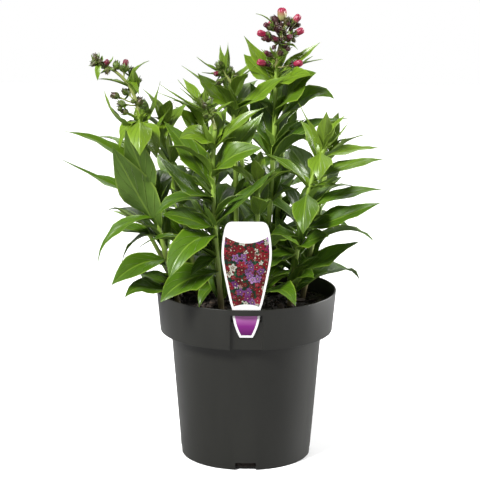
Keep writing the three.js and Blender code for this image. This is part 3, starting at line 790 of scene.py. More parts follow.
# Leaves set one by one: each row gives the height of the leaf's root on its stem, the place
# of its tip, its greatest width, the slopes at which it leaves and ends, and its roll
leaves = {
    "left": [
        [135, [-92, -48, 136], 18, -5, -45, -35],
        [138, [-84, 8, 142], 18, 0, 10, -25],
        [158, [-102, -50, 146], 21, 10, -38, -40],
        [175, [-97, -2, 151], 13, 35, -85, -20],
        [177, [-105, -8, 182], 15, 10, 0, -20],
        [192, [-113, -34, 159], 14, 8, -88, -20],
        [183, [-101, -46, 252], 28, 55, 60, 60],
        [211, [-91, -44, 264], 22, 60, 60, 50],
        [232, [-139, -28, 260], 15, 25, 5, -30],
        [205, [-142, -22, 238], 15, 22, 28, -20],
        [266, [-79, -64, 248], 22, 35, -88, 0, -40],
        [267, [-96, -44, 251], 16, 0, -70, 0],
        [266, [-68, -42, 242], 17, 0, -70, 0],
        [244, [-55, -20, 282], 9, 60, 55, 0],
        [266, [-107, -30, 291], 14, -30, 85, 0],
        [262, [-66, -12, 296], 7, 30, 70, 0],
    ],
    "front": [
        [155, [-64, -74, 139], 26, 0, -45, -35],
        [167, [-42, -60, 156], 12, -5, -45, -20],
        [181, [-57, -76, 158], 25, 30, -75, -25],
        [188, [-63, -56, 202], 22, 25, 5, -45],
        [212, [-66, -70, 250], 20, 15, 50, -55],
        [207, [-68, -52, 200], 17, 45, -60, -20],
        [249, [-50, -60, 260], 18, 60, -30, -50],
        [227, [11, -58, 253], 24, 65, 10, 50],
        [191, [24, -50, 239], 16, 45, 45, 35],
        [188, [-33, -56, 216], 7, 70, 85, 0],
        [247, [-33, -52, 274], 8, 60, 70, 0],
        [249, [15, -44, 282], 13, 50, 20, 40],
        [232, [12, -28, 275], 20, 45, 50, 45],
        [218, [-63, -28, 268], 22, 60, 45, -40],
    ],
    "middle": [
        [269, [34, -8, 301], 16, 25, 20, 60],
        [269, [-38, 4, 300], 20, 50, 60, -55],
        [269, [-51, 24, 303], 9, 40, 30, 0],
        [272, [-14, 0, 295], 7, 60, 80, 0],
    ],
    "tall": [
        [268, [52, -12, 303], 27, 40, 15, 70],
        [258, [66, -4, 282], 20, 45, -45, 40],
        [239, [78, 0, 266], 17, 35, 0, 30],
        [298, [56, 0, 326], 12, 30, 35, 40],
        [288, [48, -10, 300], 16, 30, 0, 50],
        [298, [-3, 4, 330], 12, 30, 55, -45],
        [288, [-3, 14, 314], 20, 55, 50, -40],
        [240, [2, 24, 290], 22, 65, 55, -50],
        [200, [0, 4, 240], 22, 60, 45, -45],
    ],
    "right": [
        [246, [59, -40, 278], 13, 80, 88, 0],
        [248, [66, -32, 267], 7, 70, 75, 0],
        [247, [76, -24, 267], 7, 45, 60, 0],
        [240, [101, -20, 247], 13, 15, -5, 25],
        [223, [105, -34, 241], 16, 25, 5, 30],
        [217, [70, -44, 223], 8, 25, 5, 10],
        [199, [106, -36, 218], 17, 28, 0, 30],
        [184, [101, -46, 210], 22, 15, 20, 40],
        [168, [62, -50, 185], 18, 35, 10, 50],
        [150, [86, -24, 175], 20, 8, 20, 30],
        [138, [62, -16, 149], 17, 15, -5, 20],
        [134, [51, -52, 153], 16, 40, -20, 35],
        [163, [12, -38, 156], 17, 30, -30, -20],
        [212, [42, -66, 190], 25, 35, -88, 0, -45],
        [243, [53, -66, 230], 22, 40, -88, 0, -40],
        [246, [38, -36, 284], 8, 60, 60, 0],
        [217, [6, -26, 244], 12, 50, 5, -20],
        [178, [16, -34, 178], 20, 25, -20, -20],
        [174, [40, -36, 192], 7, 40, 85, 0],
        [154, [22, -2, 190], 18, 60, 40, -45],
    ],
    "inner": [
        [260, [-71, -8, 282], 8, 60, 85, 0],
        [262, [-57, -6, 276], 5, 60, 80, 0],
        [262, [-63, -26, 246], 8, 10, -85, 0],
        [257, [-57, -26, 252], 9, 30, -70, 0],
    ],
    "low": [
        [180, [-105, 5, 196], 8, 20, 25, 0],
        [182, [-107, 14, 191], 8, 10, 15, 0],
    ],
    "back_1": [
        [234, [-57, 44, 268], 20, 60, 40, -45],
    ],
    "back_2": [
        [238, [45, 42, 278], 24, 70, 50, 50],
    ],
    "back_3": [
        [202, [28, 14, 246], 24, 60, 45, -50],
        [168, [26, 12, 213], 24, 60, 45, -50],
    ],
}

# The other leaves stand in crossed pairs, shorter and steeper toward the top. A sector
# leaves out the directions in which the rows above already fill the stem.
all_round = [-180, 180]
pairs = {
    "left": {"turn": 60, "length": 68, "width": 23, "sector": [20, 165]},
    "front": {"turn": 70, "length": 68, "width": 23, "sector": [15, 160]},
    "middle": {"turn": 20, "length": 72, "width": 25, "sector": all_round},
    "tall": {"turn": 65, "length": 72, "width": 25, "sector": [-35, 215]},
    "right": {"turn": 30, "length": 68, "width": 23, "sector": [20, 165]},
    "inner": {"turn": 50, "length": 68, "width": 24, "sector": all_round},
    "low": {"turn": 100, "length": 52, "width": 19, "sector": [40, 215]},
    "short": {"turn": 80, "length": 58, "width": 22, "sector": all_round},
    "back_1": {"turn": 40, "length": 70, "width": 25, "sector": all_round},
    "back_2": {"turn": 75, "length": 72, "width": 26, "sector": all_round},
    "back_3": {"turn": 65, "length": 66, "width": 24, "sector": all_round},
    "back_4": {"turn": 120, "length": 62, "width": 23, "sector": [70, 280]},
    "back_5": {"turn": 95, "length": 68, "width": 24, "sector": all_round},
}
pair_seed = 44
shade_seed = 71
tuft_seed = 29
tuft_slimness = 0.32
axil_rise = 0.8
lowest_pair = 131
pair_step = 33
crown_depths = [13, 4]


def random_from(seed):
    """Numbers between two limits by the rule that drew the frame's leaves."""
    modulus = 2147483647
    state = seed

    def draw(low, high):
        nonlocal state
        state = state * 16807 % modulus
        return low + (high - low) * state / modulus

    return draw


def through_four(values, t):
    """The cubic that passes through four values at equal steps."""
    a, b, c, d = values
    u = 3 * t
    return (
        -a * (u - 1) * (u - 2) * (u - 3) / 6
        + b * u * (u - 2) * (u - 3) / 2
        - c * u * (u - 1) * (u - 3) / 2
        + d * u * (u - 1) * (u - 2) / 6
    )


def stem_point(stem, height):
    """The place on a stem at a height."""
    t = (height - stem_foot) / (stem["top"] - stem_foot)
    return Vector((through_four(stem["x"], t), through_four(stem["y"], t), height))


def rod(name, points, radii, sides):
    """A round rod of changing thickness through points in millimetres."""
    drawing = bpy.data.curves.new(name, "CURVE")
    drawing.dimensions = "3D"
    drawing.bevel_depth = 1
    drawing.bevel_resolution = sides // 2 - 2
    drawing.use_fill_caps = True
    spline = drawing.splines.new("POLY")
    spline.points.add(len(points) - 1)
    for knot, point, radius in zip(spline.points, points, radii):
        knot.co = (*(Vector(point) * MM), 1)
        knot.radius = radius * MM
    whole = set_out(name, drawing)
    choose(whole)
    bpy.ops.object.convert(target="MESH")
    edit(whole)
    bpy.ops.mesh.remove_doubles(threshold=0.001 * MM)
    bpy.ops.mesh.normals_make_consistent(inside=False)
    bpy.ops.object.mode_set(mode="OBJECT")
    polish(whole, 60)
    return whole


def outline_at(s, slimness):
    """Share of a blade's greatest width at a share of its length from root to tip. The
    narrower a leaf is, the longer its point is drawn out."""
    taper = min(max(2.9 - 5 * slimness, 1.1), 1.9)
    widest = 0.8 / (0.8 + taper)
    return s ** 0.8 * (1 - s) ** taper / (widest ** 0.8 * (1 - widest) ** taper)


def set_attribute(piece, name, value):
    """Gives all corners of a piece one value, or each its own."""
    layer = piece.data.attributes.new(name, "FLOAT", "POINT")
    layer.data.foreach_set("value", np.full(len(piece.data.vertices), value, dtype=float))


def slope_of(level, degrees):
    """A direction so many degrees above a level one."""
    return level * math.cos(math.radians(degrees)) + Vector((0, 0, math.sin(math.radians(degrees))))


def bend_leaf(flat, leaf, draw):
    """A copy of a flat leaf, bent to stand from its root to its tip. The flat leaf's corners
    lie at u across, from margin to margin, and at s along, from root to tip."""
    blank, grid = flat
    root, tip = leaf["root"], leaf["tip"]
    level = Vector((tip.x - root.x, tip.y - root.y, 0)).normalized()
    reach = bend_reach * (tip - root).length
    knots = np.array([
        root,
        root + slope_of(level, leaf["rise"]) * reach,
        tip - slope_of(level, leaf["fall"]) * reach,
        tip,
    ])
    u, s, face = grid.T
    r = 1 - s

    # The midrib is a cubic curve, about which the blade rolls within its first half
    centre = np.stack([r ** 3, 3 * r * r * s, 3 * r * s * s, s ** 3], 1) @ knots
    along = np.stack([r * r, 2 * r * s, s * s], 1) @ np.diff(knots, axis=0)
    along /= np.linalg.norm(along, axis=1)[:, None]
    normal = np.cross(along, (-level.y, level.x, 0))
    normal /= np.linalg.norm(normal, axis=1)[:, None]
    roll = np.radians(leaf["roll"]) * np.minimum(1, 2 * s)[:, None]
    normal = normal * np.cos(roll) + np.cross(along, normal) * np.sin(roll)
    side = np.cross(normal, along)

    # The halves fold up from the midrib, and each margin waves and ripples on its own
    out = np.abs(u)
    half = leaf["width"] / 2 * outline_at(0.01 + 0.99 * s, leaf["width"] / (tip - root).length)
    fold = math.radians(leaf.get("fold", blade_fold)) * (1 - 0.5 * s)
    wave = margin_wave * leaf["width"] * np.sin(np.pi * s)
    lift = half * np.sin(fold) * out * (1.3 - 0.3 * out)
    lift += wave * np.sin(4 * np.pi * s + root.z + np.sign(u)) * out ** 2
    ripple = np.sin(np.pi * s) * np.sin(9 * np.pi * s + 5 * draw(0, 1) + u)
    lift += margin_ripple * leaf["width"] * ripple * out ** 3

    # The blade is thinner toward its margins and its tip, with a groove over the rib
    lift += face * blade_thickness * (1 - 0.55 * out ** 3) * (1 - 0.4 * s)
    groove = np.exp(-(out / rib_half) ** 2) * (1 - s) ** 0.7
    lift -= np.where(face < 0, rib_drop, groove_depth) * groove
    points = centre + side * (u * half * np.cos(fold))[:, None] + normal * lift[:, None]
    blade = copy_of(blank, "leaf")
    blade.data.vertices.foreach_set("co", (points * MM).ravel())
    set_attribute(blade, "tint", draw(0, 1))
    set_attribute(blade, "young", leaf["young"])
    return blade


def flat_leaf(columns, rows):
    """A flat leaf with two faces, its columns closer together near the midrib and its end
    row joined to a point, and the places of its corners across, along and through it."""
    deselect()
    bpy.ops.mesh.primitive_grid_add(
        x_subdivisions=columns, y_subdivisions=rows, size=2, location=(0, 0.5, 0), scale=(1, 0.5, 1)
    )
    blank = piece_of("leaf")
    blank.data.uv_layers[0].name = "blade"
    for vertex in blank.data.vertices:
        vertex.co.x = math.copysign(abs(vertex.co.x) ** 1.5, vertex.co.x)
    pick(blank, "VERT", lambda vertex: vertex.co.y > 0.999)
    bpy.ops.mesh.merge(type="CENTER")
    bpy.ops.object.mode_set(mode="OBJECT")
    apply_modifier(blank, "SOLIDIFY", thickness=1, offset=0)
    polish(blank, 60)
    grid = np.array([vertex.co for vertex in blank.data.vertices])
    grid[:, 1] = grid[:, 1].clip(0, 1)
    grid[:, 2] = np.sign(grid[:, 2]) / 2
    set_attribute(blank, "under", grid[:, 2] < 0)
    return blank, grid


large_leaf = flat_leaf(8, 18)
small_leaf = flat_leaf(2, 7)

# Leaf green: darker and mottled above, with broad paler patches above that are painted sheen,
# paler below, yellower when young, with pale veins, rib, margin and point
leaf_skin = Finish("leaf_skin", {"Specular IOR Level": 0.45})
blade_map = leaf_skin.node("ShaderNodeUVMap", {"uv_map": "blade"})
blade_across, blade_along, _ = leaf_skin.axes(blade_map)
from_rib = abs(blade_across * 2 - 1)
leaf_tint = leaf_skin.attribute("tint")
leaf_young = leaf_skin.attribute("young")
leaf_under = leaf_skin.attribute("under")
mottle = leaf_skin.grain(130, detail=4)
# Broad patches that lighten the upper green as a painted sheen, and also give a low relief
painted_sheen_patches = leaf_skin.grain(28, detail=2)
vein_wave = abs((blade_along * 9 - from_rib * 2.3 + mottle * 0.25).fraction() - 0.5) * 2
side_vein = vein_wave.step(0.86, 1.0) * from_rib.step(0.02, 0.2) * from_rib.step(1.0, 0.75)
rib = from_rib.step(0.14, 0.03)
margin = from_rib.step(0.9, 1.0)
point = blade_along.step(0.72, 1.0)
# The upper green is lighter where the broad patches are, which is painted sheen, and varies with
# the leaf's own random tint and mottle
upper_tone = (leaf_tint + painted_sheen_patches + mottle) * 0.4
upper_green = leaf_skin.blend((0.013, 0.042, 0.001), (0.072, 0.152, 0.004), upper_tone)
upper_green = leaf_skin.blend(upper_green, (0.18, 0.29, 0.014), leaf_young ** 1.5 * 0.65)
upper_green = leaf_skin.blend(upper_green, (0.28, 0.44, 0.06), side_vein * 0.22)
lower_green = leaf_skin.blend((0.055, 0.11, 0.008), (0.092, 0.175, 0.014), mottle)
lower_green = leaf_skin.blend(lower_green, (0.2, 0.31, 0.02), leaf_young ** 1.5 * 0.65)
lower_green = leaf_skin.blend(lower_green, (0.28, 0.4, 0.07), side_vein * 0.3)
blade_green = leaf_skin.blend(upper_green, lower_green, leaf_under)
blade_green = leaf_skin.blend(blade_green, (0.29, 0.42, 0.05), rib * 0.3)
blade_green = leaf_skin.blend(blade_green, (0.31, 0.44, 0.05), margin * 0.4)
blade_green = leaf_skin.blend(blade_green, (0.24, 0.35, 0.03), point * 0.4)
leaf_material = leaf_skin.set(
    colour=blade_green,
    roughness=0.27 + leaf_under * 0.2 + mottle * 0.14,
    height=mottle * 0.35 + side_vein * -0.5 + painted_sheen_patches * 0.6,
    depth=0.001,
)
for blank, _ in (large_leaf, small_leaf):
    blank.data.materials.append(leaf_material)

stem_skin = Finish("stem_skin", {"Roughness": 0.45})
stem_height = stem_skin.axes(stem_skin.place())[2]
stem_grain = stem_skin.grain(90, detail=3, stretch=(1, 1, 0.15))
green_stem = stem_skin.blend((0.17, 0.28, 0.03), (0.3, 0.43, 0.07), stem_grain)
above_foot = (stem_height + stem_grain * 0.03).step(0.13, 0.2)
stem_tone = stem_skin.blend((0.12, 0.09, 0.045), green_stem, above_foot)
stem_material = stem_skin.set(stem_tone, height=stem_grain, depth=0.0003)

# Each leaf of the frame is found again by the corner at its tip
same_place = 0.06 * MM
youngest_stretch = 60


def youth(stem, height):
    """How young a leaf is: 1 at the top of its stem, and less the lower it stands."""
    return max(0, (height - stem["top"]) / youngest_stretch + 1)


def stood(node):
    """A test of whether a leaf's tip stands at a corner of a node of the frame."""
    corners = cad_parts[node].data.vertices
    tree = KDTree(len(corners))
    for i, vertex in enumerate(corners):
        tree.insert(vertex.co, i)
    tree.balance()
    return lambda leaf: tree.find(leaf["tip"] * MM)[2] < same_place


def places_of_row(stem, row):
    """The places that a listed leaf may take, nearer or farther along the view."""
    height, (x, y, z), width, rise, fall, roll, *hang = row
    for shift in (0, -6, 6, -12, 12, -18, 18, -24, 24):
        tip = Vector((x, y + shift, z - 0.22 * shift))
        yield {
            "root": stem_point(stem, height), "tip": tip, "width": width,
            "rise": rise, "fall": fall, "roll": roll, "young": youth(stem, height),
            "fold": hang[0] if hang else blade_fold,
        }


def toward(direction, slope):
    """A direction about the stem and above the level, both in radians."""
    level = math.cos(slope)
    return Vector((math.cos(direction) * level, math.sin(direction) * level, math.sin(slope)))


def places_of_pair(stem, height, leaf):
    """The places that a leaf of a pair may take, turned about the stem, tilted or shorter."""
    root = stem_point(stem, height)
    for share in (1, 0.75):
        for tilt in (0, 14, -14):
            for turn in (0, 12, -12, 24, -24, 36, -36):
                slope = math.radians(leaf["slope"] + tilt)
                direction = math.radians(leaf["direction"] + turn)
                away = toward(direction, slope)
                yield {
                    "root": root,
                    "tip": root + away * leaf["length"] * share,
                    "width": leaf["width"] * share,
                    "rise": leaf["slope"] + tilt + 28,
                    "fall": leaf["slope"] + tilt - leaf["droop"],
                    "roll": leaf["roll"],
                    "young": youth(stem, height),
                }


def tuft(leaf, least, most, hands):
    """Young leaves of the side shoot in the angle between a large leaf and its stem. Those
    that would point at the viewer and hide the stem are left out, but for the lowest."""
    span = leaf["tip"] - leaf["root"]
    bearing = math.atan2(span.y, span.x)
    for hand in hands:
        length = span.length * tuft_draw(least, most) * (1 - 0.4 * leaf["young"])
        direction = bearing + hand * math.radians(tuft_draw(25, 90))
        slope = math.radians(tuft_draw(25, 75))
        if math.sin(direction) < -0.6 and leaf["root"].z > bare_above:
            continue
        away = toward(direction, slope)
        root = leaf["root"] + Vector((0, 0, axil_rise))
        yield {
            "root": root,
            "tip": root + away * length,
            "width": length * tuft_slimness,
            "rise": math.degrees(slope) + 15,
            "fall": math.degrees(slope) - 35,
            "roll": tuft_draw(-30, 30),
            "young": leaf["young"] + 0.25,
        }


leaf_draw = random_from(pair_seed)
shade_draw = random_from(shade_seed)
tuft_draw = random_from(tuft_seed)
for name, stem in stems.items():
    rule = pairs[name]
    node = f"stem_{name}"
    takes = stood(node)
    found = [next(filter(takes, places_of_row(stem, row)), None) for row in leaves.get(name, [])]
    heights = list(range(lowest_pair, math.ceil(stem["top"] - 20), pair_step))
    heights += [stem["top"] - depth for depth in crown_depths]
    for i, height in enumerate(heights):
        age = 1 - (height - lowest_pair) / (stem["top"] - lowest_pair)
        for half_turn in (0, 180):
            pair_leaf = {
                "direction": rule["turn"] + 90 * i + half_turn + leaf_draw(-8, 8),
                "length": rule["length"] * (0.42 + 0.58 * age ** 0.6) * leaf_draw(0.9, 1.08),
                "width": rule["width"] * (0.4 + 0.6 * age ** 0.6),
                "slope": 60 - 55 * age ** 0.5 + leaf_draw(-6, 6),
                "droop": 20 + 45 * age,
                "roll": leaf_draw(-15, 15),
            }
            start, end = rule["sector"]
            if (pair_leaf["direction"] - start) % 360 <= end - start:
                found.append(next(filter(takes, places_of_pair(stem, height, pair_leaf)), None))
    steps = np.linspace(0, 1, stem_steps + 1)
    path = [stem_point(stem, stem_foot + (stem["top"] - stem_foot) * t) for t in steps]
    joints = [(height - stem_foot) / (stem["top"] - stem_foot) for height in heights]
    swelling = [max(math.exp(-((t - joint) * 60) ** 2) for joint in joints) for t in steps]
    radii = [
        stem_foot_radius + (stem_top_radius - stem_foot_radius) * t + stem_bulge * swell
        for t, swell in zip(steps, swelling)
    ]
    shoot = rod(f"leafy_stem_{name}", path, radii, stem_sides)
    shoot.data.materials.append(stem_material)
    standing = [leaf for leaf in found if leaf]
    blades = [bend_leaf(large_leaf, leaf, shade_draw) for leaf in standing]
    bushy = name.startswith("back")
    growth = (0.45, 0.8, (-1, 1, 0, -1, 1)) if bushy else (0.3, 0.6, (-1, 1, 0))
    for leaf in standing:
        blades += [bend_leaf(small_leaf, young, shade_draw) for young in tuft(leaf, *growth)]
    join(shoot, blades)
    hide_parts(node)
    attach(shoot, "root")

# Flower heads: four young heads of buds. A stalk goes on from the top of its stem, with
# narrow bracts and short stalklets. A bud is five pointed sepals closed round a core, and
# at an open one the folded petals stand out of the sepals' cup.
stalk_steps = 10
rachis_top_radius = 0.9
stalklet_radius = 0.6
calyx_girth = 0.34
cup_share = 0.6
closed_share = 0.35
petal_girth = 0.36
small_petal = 2
longest_petal = 9
petal_gap = 0.3
flower_parts = 5
head_seed = 83

# Smaller buds beside each bud, from the given share of the stalk upward
side_buds = {"left": 1, "front": 1, "middle": 1, "tall": 2}
crowded_from = {"left": 0, "front": 0, "middle": 0, "tall": 0.4}
side_bud = 4.4
side_reach = 3.2
bractlets = 3
bractlet_length = 7.5
bractlet_width = 2.2

# A bract's row starts with its share of the way up the stalk and goes on as a leaf's row. A
# bud's row gives that share too, the place of its tip, the length of its calyx and how far
# its folded petals stand out of it. The riper a head, the redder its buds.
heads = {
    "left": {
        "ripe": 0.45,
        "stalk": [[-82, -24, 271], [-89, -23, 294], [-102, -25, 307], [-113, -26, 313]],
        "bracts": [
            [0.2, [-85, -34, 310], 9, 85, 88, 0],
            [0.4, [-81, -36, 289], 6, 10, -70, 0],
            [0.33, [-112, -30, 300], 7, 25, 0, 0],
            [0.38, [-74, -16, 312], 6, 55, 10, 0],
            [0.92, [-112, -32, 299], 5, -40, -88, 0],
            [0.75, [-101, -22, 316], 3, 60, 88, 0],
            [0.88, [-109, -24, 317], 3, 60, 88, 0],
        ],
        "buds": [
            [1, [-115, -26, 319], 7, 0],
            [1, [-117, -30, 310], 7, 0],
            [0.8, [-104, -28, 314], 7, 1.5],
            [0.75, [-105, -29, 303], 6, 0],
            [0.6, [-98, -20, 313], 7, 0],
            [0.45, [-91, -22, 314], 8, 1.5],
            [0.35, [-86, -16, 307], 7, 0],
            [0.12, [-103, -24, 288], 7, 0],
            [0.1, [-98, -31, 282], 7, 0],
            [0.15, [-95, -18, 291], 7, 0],
            [0, [-95, -28, 276], 6, 0],
            [0.1, [-79, -26, 285], 7, 0],
            [0.3, [-84, -10, 298], 7, 0],
            [0.08, [-82, -12, 284], 7, 0],
        ],
    },
    "front": {
        "ripe": 0.35,
        "stalk": [[-24, -40, 264], [-26, -39, 271], [-29, -38, 278], [-33, -37, 283]],
        "bracts": [
            [0.6, [-65, -36, 297], 6, 20, 35, 0],
            [0.5, [-68, -22, 289], 4, 20, 15, 0],
            [0.8, [-52, -38, 301], 4, 40, 50, 0],
            [0.8, [-50, -46, 296], 4, 30, 40, 0],
            [0.6, [-18, -52, 272], 5, 20, -60, 0],
            [0.4, [-10, -44, 286], 6, 50, 20, 20],
            [0.9, [-32, -40, 297], 4, 80, 88, 0],
        ],
        "buds": [
            [0.95, [-39, -37, 286], 7, 0],
            [0.8, [-34, -46, 284], 7, 0],
            [0.8, [-27, -34, 287], 7, 0],
            [0.5, [-24, -46, 280], 7, 0],
            [0.5, [-33, -46, 275], 7, 0],
            [0.7, [-36, -28, 281], 7, 0],
            [0.4, [-22, -30, 277], 7, 0],
        ],
    },
    "middle": {
        "ripe": 0.35,
        "stalk": [[-12, 12, 291], [-15, 12, 295], [-18, 12, 300], [-19, 12, 304]],
        "bracts": [
            [0.1, [8, 6, 307], 5, 25, 35, 10],
            [0.6, [-39, 8, 312], 6, 20, 40, -10],
            [0.6, [-35, 2, 301], 4, 0, 10, 0],
            [0.4, [-28, 0, 289], 3, -10, -40, 0],
            [0.8, [-21, 9, 321], 6, 80, 88, 0],
            [0.5, [-15, 6, 324], 6, 80, 88, 0],
        ],
        "buds": [
            [0.9, [-25, 12, 307], 7, 0],
            [0.7, [-26, 6, 299], 6, 1.5],
            [0.4, [-24, 3, 292], 6, 0],
            [0.5, [-12, 12, 304], 7, 0],
            [0.2, [-7, 7, 298], 7, 0],
            [0.8, [-18, 20, 307], 7, 0],
            [0.4, [-14, 22, 299], 7, 0],
        ],
    },
    "tall": {
        "ripe": 0.7,
        "stalk": [[22, 10, 303.8], [23, 10, 313], [25, 10, 323], [26, 10, 333]],
        "bracts": [
            [0.95, [6, 10, 345], 4, 40, 5, 0],
            [0.55, [38, 0, 319], 5, 30, -50, 0],
            [0.2, [17, 5, 321], 5, 70, 88, 0],
        ],
        "buds": [
            [1, [26, 10, 350], 6, 9],
            [0.98, [19, 8, 344], 7, 0],
            [0.9, [12, 5, 338], 7, 1.5],
            [0.75, [7, 8, 331], 6, 6],
            [0.65, [12, -1, 328], 6, 1.5],
            [0.6, [21, -4, 328], 7, 1.5],
            [0.62, [33, -4, 330], 7, 1.5],
            [0.9, [40, 12, 344], 6, 6],
            [0.75, [43, 10, 333], 6, 6],
            [0.98, [32, 6, 343], 7, 0],
            [0.85, [22, -4, 337], 8, 0],
            [0.5, [30, 2, 323], 6, 0],
            [0.85, [16, 22, 337], 6, 5],
            [0.7, [27, 25, 331], 6, 5],
            [0.8, [38, 22, 337], 7, 0],
            [0.2, [13, 4, 317], 6, 1.5],
            [0.2, [26, 0, 318], 6, 0],
            [0, [42, 0, 309], 6, 6],
            [0.05, [7, 4, 309], 6, 6],
            [0.15, [18, 20, 315], 7, 0],
        ],
    },
}


def stand_at(piece, foot, along, length, turn):
    """Sets a piece drawn one unit tall along Z to stand at a foot and lean along a direction."""
    piece.data.transform(
        Matrix.Translation(foot * MM)
        @ along.to_track_quat("Z", "Y").to_matrix().to_4x4()
        @ Matrix.Rotation(turn, 4, "Z")
        @ Matrix.Scale(length * MM, 4)
    )
    return piece


def make_calyx(name, core_profile, reach, flare):
    """Five overlapping pointed sepals on a ribbed core, one unit tall."""
    deselect()
    bpy.ops.mesh.primitive_grid_add(x_subdivisions=4, y_subdivisions=8, size=2)
    sepal = piece_of("sepal")
    sepal.data.uv_layers[0].name = "blade"
    for vertex in sepal.data.vertices:
        u, s = vertex.co.x, (vertex.co.y + 1) / 2
        broad = 0.55 + 0.45 * math.sin(math.pi * min(1, s * 1.6))
        spread = math.radians(50) * (1 - s) ** 0.6 * broad
        closing = 0.85 * max(0, s - 0.5) * 2
        girth = calyx_girth * (math.sin(math.pi * min(0.5, 0.08 + s * 1.1)) - closing)
        girth = max(girth, 0.02) + flare * s ** 3 + 0.02 + 0.015 * (1 - abs(u))
        angle = u * spread
        vertex.co = (girth * math.sin(angle), -girth * math.cos(angle), s * reach)
    edit(sepal)
    bpy.ops.mesh.remove_doubles(threshold=0.002)
    bpy.ops.object.mode_set(mode="OBJECT")
    apply_modifier(sepal, "SOLIDIFY", thickness=0.035, offset=1)
    polish(sepal, 50)
    ring = []
    for i in range(flower_parts):
        part = copy_of(sepal, "sepal")
        part.data.transform(Matrix.Rotation(i * math.tau / flower_parts, 4, "Z"))
        ring.append(part)
    core = lathe("core", core_profile, 3 * flower_parts)
    core.data.uv_layers.new(name="blade")
    join(core, ring)
    core.name = name
    bpy.data.objects.remove(sepal)
    return core


closed_core = [
    (0.09, 0), (0.24, 0.08), (0.33, 0.28), (0.31, 0.5), (0.2, 0.74), (0.06, 0.92), (0.01, 0.97)
]
cup_core = [(0.09, 0), (0.25, 0.08), (0.32, 0.28), (0.31, 0.5), (0.2, 0.52)]
bud_blank = make_calyx("closed_bud", closed_core, 1.0, 0.08)
cup_blank = make_calyx("open_calyx", cup_core, 0.95, 0.28)

# The folded petals: a ball drawn up to a blunt point, with five folds that turn as they rise
deselect()
bpy.ops.mesh.primitive_uv_sphere_add(segments=30, ring_count=14, radius=1)
petal_blank = piece_of("folded_petals")
petal_blank.data.uv_layers[0].name = "blade"
for vertex in petal_blank.data.vertices:
    t = (vertex.co.z + 1) / 2
    turn = math.atan2(vertex.co.y, vertex.co.x)
    belly = max(0, 1 - abs(2 * t - 1) ** 3.2) ** 0.5 * (0.8 + 0.2 * t)
    fold = abs(math.sin(flower_parts * (turn + 1.1 * t) / 2))
    girth = petal_girth * belly * (0.84 + 0.2 * fold ** 0.6)
    vertex.co = (girth * math.cos(turn), girth * math.sin(turn), t - 0.1 * (1 - fold) * t ** 4)
polish(petal_blank, 40)

bud_skin = Finish("bud_skin", {"Roughness": 0.5})
bud_up = bud_skin.axes(bud_skin.node("ShaderNodeUVMap", {"uv_map": "blade"}))[1]
bud_ripe = bud_skin.attribute("ripe")
bud_grain = bud_skin.grain(500, detail=3)
bud_olive = bud_skin.blend((0.05, 0.1, 0.01), (0.14, 0.2, 0.03), bud_grain)
bud_maroon = bud_skin.blend((0.022, 0.004, 0.006), (0.07, 0.016, 0.02), bud_grain)
bud_share = (bud_ripe + bud_grain * 0.5 - 0.35 + bud_up * 0.4).step(0.3, 0.9)
bud_material = bud_skin.set(
    colour=bud_skin.blend(bud_olive, bud_maroon, bud_share), height=bud_grain, depth=0.0003
)
stalk_skin = Finish("stalk_skin", {"Roughness": 0.5})
stalk_grain = stalk_skin.grain(300, detail=3)
stalk_green = stalk_skin.blend((0.2, 0.26, 0.05), (0.36, 0.42, 0.13), stalk_grain)
stalk_red = stalk_skin.blend((0.1, 0.05, 0.03), (0.18, 0.1, 0.06), stalk_grain)
stalk_material = stalk_skin.set(
    colour=stalk_skin.blend(stalk_green, stalk_red, stalk_skin.attribute("ripe") ** 2),
    height=stalk_grain,
    depth=0.0002,
)
petal_skin = Finish("petal_skin", {"Roughness": 0.42})
petal_up = petal_skin.axes(petal_skin.node("ShaderNodeUVMap", {"uv_map": "blade"}))[1]
petal_grain = petal_skin.grain(350, detail=3)
petal_ripe = petal_skin.attribute("ripe")
petal_red = petal_skin.blend((0.15, 0.002, 0.02), (0.34, 0.015, 0.06), petal_grain)
petal_red = petal_skin.blend(petal_red, (0.07, 0.004, 0.014), (petal_ripe - 1).step(0, 0.5))
petal_cream = petal_skin.blend((0.26, 0.32, 0.08), (0.34, 0.26, 0.13), petal_grain)
petal_share = (petal_up + petal_ripe + petal_grain * 0.2).step(0.4, 0.75)
petal_material = petal_skin.set(
    colour=petal_skin.blend(petal_cream, petal_red, petal_share), height=petal_grain, depth=0.0002
)
for blank in (bud_blank, cup_blank, petal_blank):
    blank.data.materials.clear()
    blank.data.materials.append(petal_material if blank is petal_blank else bud_material)

head_draw = random_from(head_seed)


def add_bud(parts, blank, root, foot, along, length, ripe):
    """Adds a bud on its stalklet, which sags a little between the stalk and the bud."""
    bud = stand_at(copy_of(blank, "bud"), foot, along, length, head_draw(0, math.tau))
    set_attribute(bud, "ripe", ripe * head_draw(0.7, 1.2))
    middle = root.lerp(foot, 0.5) - Vector((0, 0, 0.06 * (foot - root).length))
    stalklet = rod("stalklet", [root, middle, foot + along * 0.3], [stalklet_radius] * 3, 6)
    stalklet.data.materials.append(stalk_material)
    set_attribute(stalklet, "ripe", ripe)
    parts += [bud, stalklet]


def anywhere():
    """A drawn direction, more often upward."""
    return Vector((head_draw(-1, 1), head_draw(-1, 1), head_draw(-0.7, 0.9))).normalized()


def stalk_point(stalk, t):
    """The place at a share of the way up a stalk."""
    return Vector([through_four([point[k] for point in stalk], t) for k in range(3)])


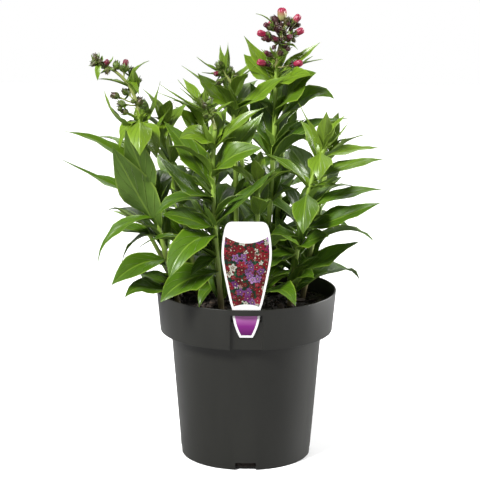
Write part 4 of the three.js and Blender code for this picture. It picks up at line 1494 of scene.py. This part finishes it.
for name, head in heads.items():
    stalk = head["stalk"]
    steps = np.linspace(0, 1, stalk_steps + 1)
    radii = [stem_top_radius + (rachis_top_radius - stem_top_radius) * t for t in steps]
    path = [stalk_point(stalk, t) for t in steps]
    spray = rod(f"bud_head_{name}", path, radii, stem_sides)
    spray.data.materials.append(stalk_material)
    set_attribute(spray, "ripe", head["ripe"])
    parts = []
    opened = 0
    for share, place, calyx, petal in head["buds"]:
        root = stalk_point(stalk, share)
        tip = Vector(place)
        along = (tip - root).normalized()
        foot = tip - along * (calyx + petal)
        opens = petal > small_petal
        add_bud(parts, cup_blank if opens else bud_blank, root, foot, along, calyx, head["ripe"])
        for _ in range(side_buds[name] if share >= crowded_from[name] else 0):
            side = (along + anywhere()).normalized()
            side_foot = foot + side * side_reach
            add_bud(parts, bud_blank, root.lerp(foot, 0.7), side_foot, side, side_bud, head["ripe"])
        for _ in range(bractlets):
            side = (along + anywhere()).normalized()
            slope = math.degrees(math.asin(side.z))
            leaf = {
                "root": foot, "tip": foot + side * bractlet_length, "width": bractlet_width,
                "rise": slope - 20, "fall": slope + 30, "roll": 0, "young": 0.3,
            }
            parts.append(bend_leaf(small_leaf, leaf, shade_draw))
        if petal == 0:
            continue
        sunk = cup_share * calyx + petal_gap if opens else closed_share * calyx
        base = foot + along * sunk
        length = calyx + petal - sunk
        corolla = copy_of(petal_blank, "folded_petals")
        stand_at(corolla, base, along, length, head_draw(0, math.tau))
        if opens:
            set_attribute(corolla, "ripe", -0.1 if petal == longest_petal else head_draw(0.15, 0.5))
            opened += 1
            corolla.name = f"petals_{name}_{opened}_folded"
            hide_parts(f"petals_{name}_{opened}")
            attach(corolla, "root")
        else:
            set_attribute(corolla, "ripe", 1.1 + head["ripe"] / 2)
            parts.append(corolla)
    for share, place, width, rise, fall, roll in head["bracts"]:
        leaf = {
            "root": stalk_point(stalk, share), "tip": Vector(place), "width": width,
            "rise": rise, "fall": fall, "roll": roll, "young": 0.8,
        }
        parts.append(bend_leaf(large_leaf, leaf, shade_draw))
    join(spray, parts)
    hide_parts(f"buds_{name}")
    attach(spray, "root")
for blank in (large_leaf[0], small_leaf[0], bud_blank, cup_blank, petal_blank):
    bpy.data.objects.remove(blank)
